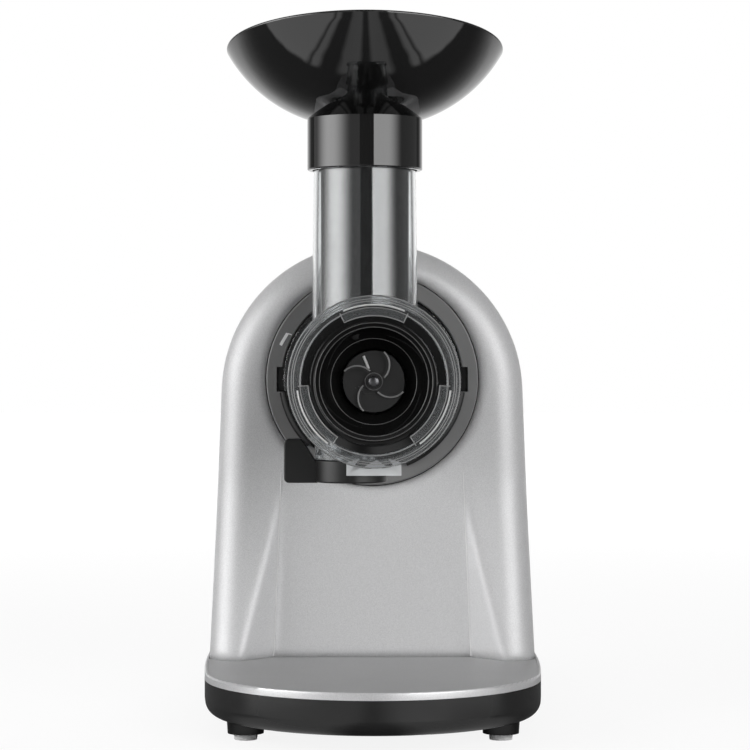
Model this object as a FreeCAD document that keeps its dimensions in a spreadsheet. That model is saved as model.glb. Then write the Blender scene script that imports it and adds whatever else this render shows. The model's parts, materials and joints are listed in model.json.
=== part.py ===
import FreeCAD, Part
import math
import os
import re
import Sketcher

# Horizontal slow juicer, in millimetres.
# X runs to the right, Y to the back and Z up; the drum lies along Y and its mouth faces -Y.
# The origin is on the table, under the middle of the base.

SIZES = {
    # base pan, deck and feet
    "base_length": 340, "base_half_width": 87, "nose_inset": 3, "side_straight_from": 10,
    "rear_corner_radius": 16, "pan_bottom": 9, "pan_height": 17.5, "pan_wall": 2.6, "pan_floor": 3,
    "pan_edge_radius": 7.4, "deck_thickness": 3.2, "deck_lip": 0.6, "deck_lip_width": 1.4,
    "deck_edge_radius": 0.9, "foot_side_inset": 24.4, "foot_front_inset": 57, "foot_rear_inset": 46,
    "foot_radius": 9.3, "foot_taper": 0.4, "pad_radius": 6, "pad_height": 3.1,
    # housing arch, its sloped flanks, the jug recess between them and the rear cover
    "arch_inset": 7, "arch_height": 138.3, "housing_inset": 1.7, "housing_wall": 2.8,
    "cover_gap": 1, "face_edge_radius": 15, "flank_reach": 17, "flank_height": 82,
    "flank_blend_radius": 150, "recess_taper": 4, "recess_flare": 17, "ridge_flat": 1.5,
    "ridge_radius": 3, "cover_setback": 20, "cover_depth": 10, "cover_edge_radius": 5.2,
    "vent_width": 3, "vent_length": 52, "vent_pitch": 7, "vent_count": 13,
    "vent_height": 92, "boss_radius": 5.5, "boss_length": 40, "boss_angle": 40, "boss_height": 22,
    # drum axis, bezel and seat
    "drum_height": 146.1, "bezel_radius": 55.6, "bezel_bore_radius": 47.3, "bezel_groove": 0.6,
    "bezel_proud": 2.5, "notch_width": 13, "seat_wall": 3, "seat_depth": 28, "seat_flange_radius": 57,
    "seat_flange": 3, "seat_floor": 4, "seat_boss_radius": 15, "lug_radius": 49.6, "lug_length": 4.7,
    "lug_angle": 14, "drum_twist": 35,
    # drum: front ring, barrel, collar, feed tube and spout
    "drum_reach": 134, "ring_radius": 41.1, "ring_depth": 9, "ring_bore_radius": 34.6,
    "ring_line_radius": 38.6, "ring_line_width": 0.8, "ring_line_depth": 0.6, "tab_radius": 31,
    "tab_count": 3, "tab_depth": 3.5, "tab_angle": 54, "grip_half_width": 13, "grip_reach": 44.5,
    "grip_depth": 6, "barrel_radius": 37.2, "barrel_bore_radius": 33.6, "strainer_zone": 68,
    "throat_radius": 33, "throat_bore_radius": 29.3, "collar_radius": 46.6, "collar_wall": 4,
    "collar_web": 4, "collar_stand": 4, "tube_x": -4, "tube_setback": 36, "tube_top_radius": 25.8,
    "tube_foot_radius": 27.5, "tube_wall": 2.4, "tube_rise": 123.9, "spout_x": -10.9,
    "spout_setback": 30, "spout_radius": 17.4, "spout_wall": 3, "spout_floor": 2, "spout_drop": 37.6,
    "port_radius": 2.8, "port_circle_radius": 8, "tap_pin_radius": 2.5, "drum_seal_width": 2,
    "drum_seal_depth": 2.4,
    # strainer and end cap
    "strainer_setback": 8, "strainer_radius": 32.5, "strainer_bore_radius": 29, "strainer_flange": 2.5,
    "slot_width": 1.5, "slot_length": 40, "slot_count": 20, "cap_radius": 30.4, "cap_recess": 1.5,
    "cap_lug_angle": 46, "cap_lug_depth": 3.7, "cap_step_radius": 27.9, "cap_cone_radius": 25.9,
    "cap_throat_radius": 20.6, "cap_bore_radius": 16, "cap_nose_radius": 28.2, "cap_depth": 20.5,
    "cap_seal_depth": 1.5,
    # juice tap
    "tap_depth": 10.9, "tap_wall": 2.4, "tap_disc": 3, "handle_reach": 32.4, "handle_height": 21.3,
    "handle_thickness": 8, "handle_slope": 6.3, "handle_round": 2.5,
    # hopper and pusher
    "collar_grip": 17, "hopper_collar_radius": 29.4, "hopper_throat_radius": 23.7,
    "bowl_radius": 73.8, "bowl_centre_radius": 6.1, "bowl_centre_height": 79.3, "bowl_wall": 2.2,
    "rim_side_height": 43.1, "rim_tilt": 9.1, "rim_round": 0.8, "ledge_radius": 27, "pusher_radius": 22.6,
    "pusher_wall": 2.6, "pusher_rise": 2, "pusher_flange": 3, "pusher_neck_radius": 17,
    "knob_radius": 22, "knob_height": 12, "knob_top_height": 33.4,
    # auger and its drive shaft
    "auger_radius": 28.4, "nose_setback": 12.5, "auger_nose_radius": 14.7, "auger_nose_depth": 5,
    "auger_core_front": 15, "auger_core_rear": 10, "auger_pitch": 24, "auger_turns": 3.9,
    "flight_root": 7, "flight_tip": 3.4, "auger_back_disc": 5, "auger_shank_radius": 10.5,
    "auger_hub_radius": 4.3, "auger_hub_length": 2.6, "auger_pin_radius": 2.7,
    "auger_pin_length": 16, "vane_height": 2, "vane_width": 1.7,
    "vane_radius": 8, "vane_start": 8, "vane_count": 4, "hex_flats": 10, "hex_depth": 14, "shaft_radius": 6,
    # gear train
    "fine_module": 1, "coarse_module": 1.5, "pinion_teeth": 12, "idler_teeth": 48, "output_teeth": 42,
    "output_gear_width": 14, "idler_gear_width": 9, "pinion_overhang": 2, "case_gap": 8,
    "case_wall": 5, "case_plate": 4, "case_depth": 48, "case_gear_gap": 1.3, "case_sump": 13,
    "leg_width": 14, "leg_top": 8, "gear_bearing_radius": 14, "gear_bearing_width": 8,
    "bearing_wall": 3.5, "idler_pin_radius": 4, "case_screw_radius": 1.6, "case_screw_head_radius": 3,
    "case_screw_head": 2.2, "case_screw_length": 14,
    # motor
    "motor_half_size": 32, "motor_corner_radius": 9, "bracket_plate": 4, "motor_bearing_radius": 11,
    "motor_bearing_width": 7, "motor_shaft_radius": 4, "stator_gap": 24, "stator_length": 32,
    "stator_bore_radius": 17.4, "rotor_radius": 16.6, "rotor_slot_width": 2.2, "rotor_slot_depth": 5,
    "rotor_slot_count": 12, "coil_half_width": 26, "coil_inner_half_width": 15.5, "coil_overhang": 8,
    "coil_low": 10.5, "coil_height": 7, "fan_radius": 26, "fan_hub_radius": 8, "fan_width": 7,
    "fan_blade": 1.6, "fan_blade_count": 11, "fan_gap": 1, "tail_gap": 14, "commutator_radius": 8.8,
    "commutator_width": 9, "brush_half_height": 4, "brush_length": 20,
    "long_screw_radius": 2, "long_screw_inset": 7, "long_screw_head_radius": 4, "long_screw_head": 2.4,
    "post_radius": 4.6, "stand_half_width": 20, "stand_length": 24, "stand_sheet": 3, "stand_flange": 12,
    "mount_thickness": 6,
    # switch, cord gland and outer screws
    "switch_height": 27, "switch_half_width": 7.5, "switch_half_height": 11, "switch_bezel": 2,
    "switch_rim": 1.5, "switch_body_depth": 18, "rocker_half_width": 4.8, "rocker_half_height": 8.2,
    "rocker_rise": 3, "rocker_tilt": 8, "gland_x": 48, "gland_height": 24,
    "gland_radius": 6.5, "gland_bore_radius": 3.6, "gland_flange_radius": 9, "gland_flange": 3,
    "screw_radius": 2, "screw_head_radius": 3.8, "screw_head": 2.2, "screw_length": 26,
    # rounding of moulded edges, and clearances between pieces
    "edge_round": 0.8,
    "fit_gap": 0.3, "slide_gap": 0.6, "hopper_gap": 1, "running_gap": 0.05, "tooth_gap": 0.16,
}

PLACES = {
    "front_y": "-base_length / 2",
    "rear_y": "base_length / 2",
    "deck_bottom": "pan_bottom + pan_height",
    "deck_top": "deck_bottom + deck_thickness",
    "nose_radius": "base_half_width - nose_inset",
    "foot_half_spacing": "base_half_width - foot_side_inset",
    "arch_radius": "base_half_width - arch_inset",
    "housing_foot_half_width": "base_half_width - housing_inset",
    "recess_half_width": "housing_foot_half_width - face_edge_radius - ridge_flat - recess_flare",
    "recess_top_half_width": "recess_half_width - recess_taper",
    "arch_z": "deck_top + arch_height",
    "drum_z": "deck_top + drum_height",
    "cover_y": "rear_y - cover_setback",
    "cover_back_y": "cover_y + cover_depth",
    "gear_stack": "seat_depth + seat_floor + case_gap + case_depth + case_plate",
    "motor_stack": "1.5 * bracket_plate + stator_gap + stator_length + tail_gap + motor_bearing_width",
    "face_y": "cover_y - cover_gap - motor_stack - gear_stack",
    "flank_y": "face_y - flank_reach",
    "flank_z": "deck_top + flank_height",
    "side_straight_y": "flank_y + face_edge_radius + side_straight_from",
    "wall_y": "face_y + housing_wall",
    "seat_y": "face_y + seat_depth",
    "seat_back_y": "seat_y + seat_floor",
    "seat_bore": "collar_radius + fit_gap",
    "lug_groove": "lug_radius + fit_gap",
    "lug_groove_y": "wall_y + lug_length + 2 * fit_gap",
    "ring_y": "face_y - drum_reach",
    "ring_back_y": "ring_y + ring_depth",
    "strainer_y": "ring_y + strainer_setback",
    "strainer_seat_y": "strainer_y + strainer_flange",
    "step_y": "ring_y + strainer_zone",
    "collar_y": "face_y - collar_stand",
    "collar_back_y": "seat_y - fit_gap",
    "tube_y": "face_y - tube_setback",
    "tube_top": "drum_z + tube_rise",
    "spout_y": "ring_y + spout_setback",
    "spout_bottom": "drum_z - spout_drop",
    "tap_top": "spout_bottom - fit_gap",
    "tap_bottom": "tap_top - tap_depth",
    "cap_front_y": "ring_y + cap_recess",
    "cap_back_y": "cap_front_y + cap_depth",
    "cap_shoulder_y": "strainer_seat_y - fit_gap",
    "cap_lug_y": "ring_y + tab_depth + fit_gap",
    "hopper_bottom": "tube_top - collar_grip",
    "tube_stop": "tube_top + fit_gap",
    "bowl_z": "tube_top + bowl_centre_height",
    "ledge_z": "bowl_z - sqrt((bowl_radius - bowl_wall)^2 - (ledge_radius - bowl_centre_radius)^2)",
    "pusher_bottom": "drum_z + auger_radius + pusher_rise",
    "pusher_seat": "ledge_z + fit_gap",
    "pusher_lip": "pusher_seat + pusher_flange",
    "knob_top": "pusher_lip + knob_top_height",
    "nose_y": "cap_front_y + nose_setback",
    "nose_back_y": "nose_y + auger_nose_depth",
    "flight_y": "cap_back_y + flight_root",
    "flight_end_y": "flight_y + auger_turns * auger_pitch",
    "auger_back_y": "collar_y + collar_web - fit_gap",
    "auger_end_y": "seat_y - auger_shank_radius",
    "case_y": "seat_back_y + case_gap",
    "case_back_y": "case_y + case_depth",
    "plate_y": "case_back_y + case_plate",
    "coarse_centres": "coarse_module * (pinion_teeth + output_teeth) / 2",
    "fine_centres": "fine_module * (pinion_teeth + idler_teeth) / 2",
    "idler_z": "drum_z - coarse_centres",
    "rotor_z": "idler_z - fine_centres",
    "output_tip": "coarse_module * (output_teeth / 2 + 0.8)",
    "case_inner": "output_tip + case_gear_gap",
    "case_outer": "case_inner + case_wall",
    "case_floor": "rotor_z - case_sump",
    "front_bearing_y": "case_y + case_plate / 2",
    "front_bearing_end": "front_bearing_y + gear_bearing_width",
    "rear_bearing_y": "case_back_y - gear_bearing_width + case_plate / 2",
    "output_gear_y": "front_bearing_end + pinion_overhang",
    "output_gear_end": "output_gear_y + output_gear_width",
    "idler_gear_y": "output_gear_end + 2 * pinion_overhang",
    "idler_gear_end": "idler_gear_y + idler_gear_width",
    "motor_y": "plate_y + bracket_plate",
    "motor_bearing_y": "plate_y + bracket_plate / 2",
    "stator_y": "motor_y + stator_gap",
    "stator_end": "stator_y + stator_length",
    "tail_y": "stator_end + tail_gap",
    "tail_bearing_y": "tail_y + bracket_plate / 2",
    "tail_bearing_end": "tail_bearing_y + motor_bearing_width",
    "fan_y": "motor_bearing_y + motor_bearing_width + fan_gap",
    "commutator_y": "tail_y - commutator_width - fan_gap",
    "motor_bottom": "rotor_z - motor_half_size",
    "stand_top": "motor_bottom - mount_thickness",
    "long_screw_x": "motor_half_size - long_screw_inset",
    "boss_low_z": "deck_top + boss_height",
    "boss_low_x": "housing_foot_half_width - housing_wall - boss_radius",
    "boss_reach": "arch_radius - housing_wall - boss_radius + fit_gap",
    "boss_high_x": "boss_reach * cos(boss_angle)",
    "boss_high_z": "arch_z + boss_reach * sin(boss_angle)",
    "switch_z": "deck_top + switch_height",
    "gland_z": "deck_top + gland_height",
    "pillar_front_y": "face_y + 4 * boss_radius",
    "pillar_rear_y": "cover_y - 5 * boss_radius",
}

# Turns a piece drawn about +Z to lie along +Y, or one drawn on XY to stand and face -Y.
ALONG_Y = FreeCAD.Rotation(FreeCAD.Vector(1, 0, 0), -90)
FACING_FRONT = FreeCAD.Rotation(FreeCAD.Vector(1, 0, 0), 90)
UPRIGHT = FreeCAD.Rotation()

# Length by which a cutting tool passes the face that it opens.
OVERCUT = 1

ADDENDUM = 0.8
DEDENDUM = 1.0
PRESSURE_ANGLE = math.radians(25)

doc = FreeCAD.newDocument("slow_juicer")
sub_parts = []


def qualified(text):
    def owner(match):
        word = match.group(0)
        if word in SIZES:
            return "Sizes." + word
        if word in PLACES:
            return "Places." + word
        return word
    return re.sub(r"[A-Za-z_]\w*", owner, str(text))


def make_sheet():
    sheet = doc.addObject("Spreadsheet::Sheet", "Sizes")
    for row, (name, size) in enumerate(SIZES.items(), start=1):
        sheet.set(f"A{row}", name)
        sheet.set(f"B{row}", str(size))
        sheet.setAlias(f"B{row}", name)
    doc.recompute()
    places = doc.addObject("App::VarSet", "Places")
    for name, text in PLACES.items():
        places.addProperty("App::PropertyFloat", name)
        places.setExpression(name, qualified(text))
    doc.recompute()
    return places


places = make_sheet()


def bind(thing, prop, text):
    thing.setExpression(prop, qualified(text))


def value(text):
    return float(places.evalExpression(qualified(text)))


def place(thing, x=0, y=0, z=0, rotation=UPRIGHT):
    thing.Placement = FreeCAD.Placement(FreeCAD.Vector(), rotation)
    for axis, text in zip("xyz", (x, y, z)):
        if text != 0:
            bind(thing, "Placement.Base." + axis, text)
    return thing


def keep(thing, label):
    thing.Label = label
    sub_parts.append(thing)
    return thing


# Plain solids

def cylinder(name, radius, height, x=0, y=0, z=0, rotation=UPRIGHT):
    solid = doc.addObject("Part::Cylinder", name)
    bind(solid, "Radius", radius)
    bind(solid, "Height", height)
    return place(solid, x, y, z, rotation)


def cone(name, low_radius, high_radius, height, x=0, y=0, z=0, rotation=UPRIGHT):
    solid = doc.addObject("Part::Cone", name)
    bind(solid, "Radius1", low_radius)
    bind(solid, "Radius2", high_radius)
    bind(solid, "Height", height)
    return place(solid, x, y, z, rotation)


def box(name, length, width, height, x=0, y=0, z=0, rotation=UPRIGHT):
    solid = doc.addObject("Part::Box", name)
    bind(solid, "Length", length)
    bind(solid, "Width", width)
    bind(solid, "Height", height)
    return place(solid, x, y, z, rotation)


def cut(name, base, tool):
    solid = doc.addObject("Part::Cut", name)
    solid.Base = base
    solid.Tool = tool
    return solid


def fuse(name, *solids):
    solid = doc.addObject("Part::MultiFuse", name)
    solid.Shapes = list(solids)
    return solid


def group(name, solids):
    several = doc.addObject("Part::Compound", name)
    several.Links = list(solids)
    return several


# Sketches: every corner is held by two expressions

def new_body(name):
    return doc.addObject("PartDesign::Body", name)


def sketch_on(body, name, role="XY_Plane", offset=0):
    sketch = body.newObject("Sketcher::SketchObject", name)
    plane = next(f for f in body.Origin.OriginFeatures if f.Role == role)
    sketch.AttachmentSupport = [(plane, "")]
    sketch.MapMode = "FlatFace"
    if offset != 0:
        bind(sketch, "AttachmentOffset.Base.z", offset)
    return sketch


def hold(sketch, kind, *ends, size):
    number = sketch.addConstraint(Sketcher.Constraint(kind, *ends, value(size)))
    bind(sketch, f"Constraints[{number}]", size)


def hold_point(sketch, geometry, position, x, y):
    hold(sketch, "DistanceX", -1, 1, geometry, position, size=x)
    hold(sketch, "DistanceY", -1, 1, geometry, position, size=y)


def arc_between(start, end, radius, turn):
    chord = end - start
    half = chord.Length / 2
    rise = math.sqrt(max(radius ** 2 - half ** 2, 0))
    normal = FreeCAD.Vector(-chord.y, chord.x, 0).normalize()
    centre = start + chord / 2 + normal * rise * turn
    first, last = (start, end) if turn > 0 else (end, start)
    circle = Part.Circle(centre, FreeCAD.Vector(0, 0, 1), radius)
    angles = [math.atan2(p.y - centre.y, p.x - centre.x) for p in (first, last)]
    if angles[1] < angles[0]:
        angles[1] += 2 * math.pi
    return Part.ArcOfCircle(circle, *angles)


def outline(sketch, corners):
    """Closed outline; a corner with a radius starts an arc, positive where it turns left."""
    points = [FreeCAD.Vector(value(c[0]), value(c[1]), 0) for c in corners]
    ends = []
    for number, corner in enumerate(corners):
        start, end = points[number], points[(number + 1) % len(points)]
        if len(corner) == 2:
            index = sketch.addGeometry(Part.LineSegment(start, end), False)
            ends.append((index, 1, 2))
            continue
        turn = corner[3]
        index = sketch.addGeometry(arc_between(start, end, value(corner[2]), turn), False)
        ends.append((index, 1, 2) if turn > 0 else (index, 2, 1))
    for number, (index, _, last) in enumerate(ends):
        follower, first, _ = ends[(number + 1) % len(ends)]
        sketch.addConstraint(Sketcher.Constraint("Coincident", index, last, follower, first))
    for number, ((index, first, _), corner) in enumerate(zip(ends, corners)):
        hold_point(sketch, index, first, corner[0], corner[1])
        if len(corner) > 2:
            chord = points[(number + 1) % len(points)] - points[number]
            hold_arc(sketch, index, corner, chord)
    return sketch


def hold_arc(sketch, index, corner, chord):
    """A half circle is held by its centre, level with its start, and any other arc by its radius."""
    if chord.Length < 1.999 * value(corner[2]):
        hold(sketch, "Radius", index, size=corner[2])
    elif abs(chord.x) > abs(chord.y):
        hold(sketch, "DistanceY", -1, 1, index, 3, size=corner[1])
    else:
        hold(sketch, "DistanceX", -1, 1, index, 3, size=corner[0])


def shifted(corner, other, distance):
    across = value(f"({other[0]}) - ({corner[0]})")
    along = value(f"({other[1]}) - ({corner[1]})")
    if abs(across) > abs(along):
        return f"({corner[0]}) {'+' if across > 0 else '-'} {distance}", corner[1]
    return corner[0], f"({corner[1]}) {'+' if along > 0 else '-'} {distance}"


def eased(corners, chosen, radius="edge_round"):
    """Outline with the chosen corners rounded; both edges at such a corner run along an axis."""
    points = [FreeCAD.Vector(value(c[0]), value(c[1]), 0) for c in corners]
    result = []
    for number, corner in enumerate(corners):
        if number not in chosen:
            result.append(corner)
            continue
        follower = (number + 1) % len(corners)
        bend = (points[number] - points[number - 1]).cross(points[follower] - points[number]).z
        start, end = (shifted(corner, corners[n], radius) for n in (number - 1, follower))
        result += [(*start, radius, 1 if bend > 0 else -1), end]
    return result


def circle(sketch, x, y, radius):
    centre = FreeCAD.Vector(value(x), value(y), 0)
    index = sketch.addGeometry(Part.Circle(centre, FreeCAD.Vector(0, 0, 1), value(radius)), False)
    hold_point(sketch, index, 3, x, y)
    hold(sketch, "Radius", index, size=radius)
    return sketch


def rectangle(sketch, left, low, right, high):
    return outline(sketch, [(left, low), (right, low), (right, high), (left, high)])


def rounded(sketch, half_width, half_height, radius, x="0", y="0"):
    wide, high = f"({half_width})", f"({half_height})"
    corners = []
    for sx, sy in (("+", "-"), ("+", "+"), ("-", "+"), ("-", "-")):
        along_x = (f"{x} {sx} ({wide} - {radius})", f"{y} {sy} {high}")
        along_y = (f"{x} {sx} {wide}", f"{y} {sy} ({high} - {radius})")
        first, last = (along_x, along_y) if sx != sy else (along_y, along_x)
        corners += [(*first, radius, 1), last]
    return outline(sketch, corners)


# PartDesign features

def pad(body, sketch, length, name="Pad", back=False):
    feature = body.newObject("PartDesign::Pad", name)
    feature.Profile = sketch
    bind(feature, "Length", length)
    feature.Reversed = back
    return feature


def pocket(body, sketch, length, name="Pocket", back=False):
    doc.recompute()
    before = body.Shape.Volume
    feature = body.newObject("PartDesign::Pocket", name)
    feature.Profile = sketch
    bind(feature, "Length", length)
    feature.Reversed = back
    doc.recompute()
    if body.Shape.Volume > before - 1e-3:
        raise RuntimeError(f"{body.Name}: {name} cuts nothing")
    return feature


def edge_names(shape, chosen):
    return [f"Edge{n}" for n, edge in enumerate(shape.Edges, start=1) if chosen(edge)]


def fillet(body, base, radius, chosen, name="Fillet"):
    doc.recompute()
    feature = body.newObject("PartDesign::Fillet", name)
    feature.Base = (base, edge_names(base.Shape, chosen))
    bind(feature, "Radius", radius)
    return feature


def in_plane(edge, axis, level):
    box = edge.BoundBox
    low, high = getattr(box, axis + "Min"), getattr(box, axis + "Max")
    return abs(low - level) < 0.01 and abs(high - level) < 0.01


def polar(body, feature, count, name="Pattern"):
    doc.recompute()
    pattern = body.newObject("PartDesign::PolarPattern", name)
    pattern.Originals = [feature]
    axis = next(f for f in body.Origin.OriginFeatures if f.Role == "Z_Axis")
    pattern.Axis = (axis, [""])
    pattern.Angle = 360
    bind(pattern, "Occurrences", count)
    body.Tip = pattern
    return pattern


def turned(name, corners, x=0, y=0, z=0, rotation=ALONG_Y, angle=360):
    """Body of revolution; each corner is (radius, place along the axis)."""
    body = new_body(name)
    sketch = outline(sketch_on(body, name + "_profile", "XZ_Plane"), corners)
    feature = body.newObject("PartDesign::Revolution", name + "_turn")
    feature.Profile = sketch
    feature.ReferenceAxis = (sketch, ["V_Axis"])
    bind(feature, "Angle", angle)
    return place(body, x, y, z, rotation)


def ring(name, inner, outer, start, end, **at):
    return turned(name, [(inner, start), (outer, start), (outer, end), (inner, end)], **at)


def drum_ring(name, inner, outer, start, end):
    return ring(name, inner, outer, start, end, z="drum_z")


def sector(name, inner, outer, start, end, angle, middle, x=0, z="drum_z"):
    """Part of a ring round a Y axis, centred at an angle from +X, left-turning seen from the front."""
    body = ring(name, inner, outer, start, end, x=x, z=z, angle=angle)
    body.Tip.Midplane = True
    spin = FreeCAD.Rotation(FreeCAD.Vector(0, -1, 0), value(middle))
    body.Placement = FreeCAD.Placement(body.Placement.Base, spin.multiply(ALONG_Y))
    return body


# Base

def plan_outline(sketch, inset):
    """Rounded nose, sides that widen to straight runs, and round rear corners."""
    nose = value(f"nose_radius - {inset}")
    wide = value(f"base_half_width - {inset}")
    back = value(f"base_length / 2 - {inset}")
    corner = value(f"rear_corner_radius - {inset}")
    nose_y = value("front_y + nose_radius")
    straight = value("side_straight_y")
    up = FreeCAD.Vector(0, 0, 1)
    spread = 2 * math.atan2(wide - nose, straight - nose_y)
    blend = (straight - nose_y) / math.sin(spread)

    def arc(x, y, radius, first, last):
        ends = (math.radians(first), math.radians(last))
        return Part.ArcOfCircle(Part.Circle(FreeCAD.Vector(x, y, 0), up, radius), *ends)

    def line(x1, y1, x2, y2):
        return Part.LineSegment(FreeCAD.Vector(x1, y1, 0), FreeCAD.Vector(x2, y2, 0))

    tilt = math.degrees(spread)
    for shape in (
            arc(0, nose_y, nose, 180 + tilt, 360 - tilt),
            arc(wide - blend, straight, blend, -tilt, 0),
            line(wide, straight, wide, back - corner),
            arc(wide - corner, back - corner, corner, 0, 90),
            line(wide - corner, back, corner - wide, back),
            arc(corner - wide, back - corner, corner, 90, 180),
            line(-wide, back - corner, -wide, straight),
            arc(blend - wide, straight, blend, 180, 180 + tilt)):
        sketch.addGeometry(shape, False)
    for number in range(8):
        sketch.addConstraint(Sketcher.Constraint("Tangent", number, 2, (number + 1) % 8, 1))
    for number, direction in ((2, "Vertical"), (4, "Horizontal"), (6, "Vertical")):
        sketch.addConstraint(Sketcher.Constraint(direction, number))
    hold_point(sketch, 0, 3, "0", "front_y + nose_radius")
    hold(sketch, "Radius", 0, size=f"nose_radius - {inset}")
    hold_point(sketch, 2, 1, f"base_half_width - {inset}", "side_straight_y")
    hold_point(sketch, 6, 2, f"{inset} - base_half_width", "side_straight_y")
    hold(sketch, "DistanceY", -1, 1, 4, 1, size=f"base_length / 2 - {inset}")
    hold(sketch, "Radius", 3, size=f"rear_corner_radius - {inset}")
    hold(sketch, "Radius", 5, size=f"rear_corner_radius - {inset}")
    return sketch


FOOT_PLACES = [(f"{side}foot_half_spacing", y) for side in ("", "-")
               for y in ("front_y + foot_front_inset", "rear_y - foot_rear_inset")]
PILLAR_PLACES = [(f"{side}boss_low_x", y) for side in ("", "-")
                 for y in ("pillar_front_y", "pillar_rear_y")]


def drilled(name, solid, holes):
    return cut(name, solid, group(name + "_holes", holes))


def base_pan():
    body = new_body("pan_body")
    plate = pad(body, plan_outline(sketch_on(body, "pan_plan"), "0"), "pan_height")
    fillet(body, plate, "pan_edge_radius", lambda e: in_plane(e, "Z", 0))
    hollow = plan_outline(sketch_on(body, "pan_hollow", offset="pan_height"), "pan_wall")
    pocket(body, hollow, "pan_height - pan_floor")
    posts = sketch_on(body, "pan_posts", offset="pan_floor")
    for x, y in PILLAR_PLACES:
        circle(posts, x, y, "boss_radius")
    pad(body, posts, "pan_height - pan_floor", "Posts")
    place(body, z="pan_bottom")
    holes = [cylinder(f"pan_hole{n}", "screw_radius", "pan_height", x, y, "pan_bottom")
             for n, (x, y) in enumerate(PILLAR_PLACES)]
    keep(drilled("pan_drilled", body, holes), "base_pan")


def deck_plate():
    body = new_body("deck_body")
    top = "deck_thickness + deck_lip"
    plate = pad(body, plan_outline(sketch_on(body, "deck_plan"), "0"), top)
    level = value(top)
    fillet(body, plate, "deck_edge_radius", lambda e: in_plane(e, "Z", level))
    tray = plan_outline(sketch_on(body, "deck_tray", offset=top), "deck_lip_width")
    pocket(body, tray, "deck_lip", "Tray")
    place(body, z="deck_bottom")
    holes = [cylinder(f"deck_hole{n}", "screw_radius", "deck_thickness", x, y, "deck_bottom")
             for n, (x, y) in enumerate(PILLAR_PLACES)]
    keep(drilled("deck_drilled", body, holes), "deck_plate")


def feet():
    posts = [cone(f"foot{n}", "foot_radius - foot_taper", "foot_radius", "pan_bottom - pad_height",
                  x, y, "pad_height") for n, (x, y) in enumerate(FOOT_PLACES)]
    pads = [cone(f"pad{n}", "pad_radius - foot_taper", "pad_radius", "pad_height", x, y)
            for n, (x, y) in enumerate(FOOT_PLACES)]
    keep(group("feet_group", posts), "base_feet")
    keep(group("pads_group", pads), "foot_pads")


def screw(name, head_radius, head, shank_radius, length, x, y, z, rotation):
    """Screw whose head sits on the given point; its shank runs along the turned +Z axis."""
    body = turned(name, [("0", f"-{head}"), (head_radius, f"-{head}"), (head_radius, "0"),
                         (shank_radius, "0"), (shank_radius, length), ("0", length)],
                  x, y, z, rotation)
    return body


def base_screws():
    screws = [screw(f"base_screw{n}", "screw_head_radius", "screw_head", "screw_radius",
                    "pan_height + deck_thickness + boss_length / 3", x, y, "pan_bottom", UPRIGHT)
              for n, (x, y) in enumerate(PILLAR_PLACES)]
    keep(group("base_screw_group", screws), "base_screws")


# Housing

def arch_outline(sketch, inset, low="deck_top"):
    """Round top whose sides run down, tangent, to the wider foot."""
    radius = value(f"arch_radius - {inset}")
    foot = value(f"housing_foot_half_width - {inset}")
    top, bottom = value("arch_z"), value(low)
    up = FreeCAD.Vector(0, 0, 1)
    corners = [FreeCAD.Vector(x, z, 0) for x, z in
               ((foot, bottom), (radius, top), (-radius, top), (-foot, bottom))]
    sketch.addGeometry(Part.LineSegment(corners[0], corners[1]), False)
    sketch.addGeometry(Part.ArcOfCircle(Part.Circle(FreeCAD.Vector(0, top, 0), up, radius), 0, math.pi),
                       False)
    sketch.addGeometry(Part.LineSegment(corners[2], corners[3]), False)
    sketch.addGeometry(Part.LineSegment(corners[3], corners[0]), False)
    sketch.addConstraint(Sketcher.Constraint("Tangent", 0, 2, 1, 1))
    sketch.addConstraint(Sketcher.Constraint("Tangent", 1, 2, 2, 1))
    sketch.addConstraint(Sketcher.Constraint("Coincident", 2, 2, 3, 1))
    sketch.addConstraint(Sketcher.Constraint("Coincident", 3, 2, 0, 1))
    hold_point(sketch, 0, 1, f"housing_foot_half_width - {inset}", low)
    hold_point(sketch, 2, 2, f"{inset} - housing_foot_half_width", low)
    hold_point(sketch, 1, 3, "0", "arch_z")
    hold(sketch, "Radius", 1, size=f"arch_radius - {inset}")
    return sketch


COVER_BOSSES = [(f"{side}{x}", z) for side in ("", "-")
                for x, z in (("boss_low_x", "boss_low_z"), ("boss_high_x", "boss_high_z"))]


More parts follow.
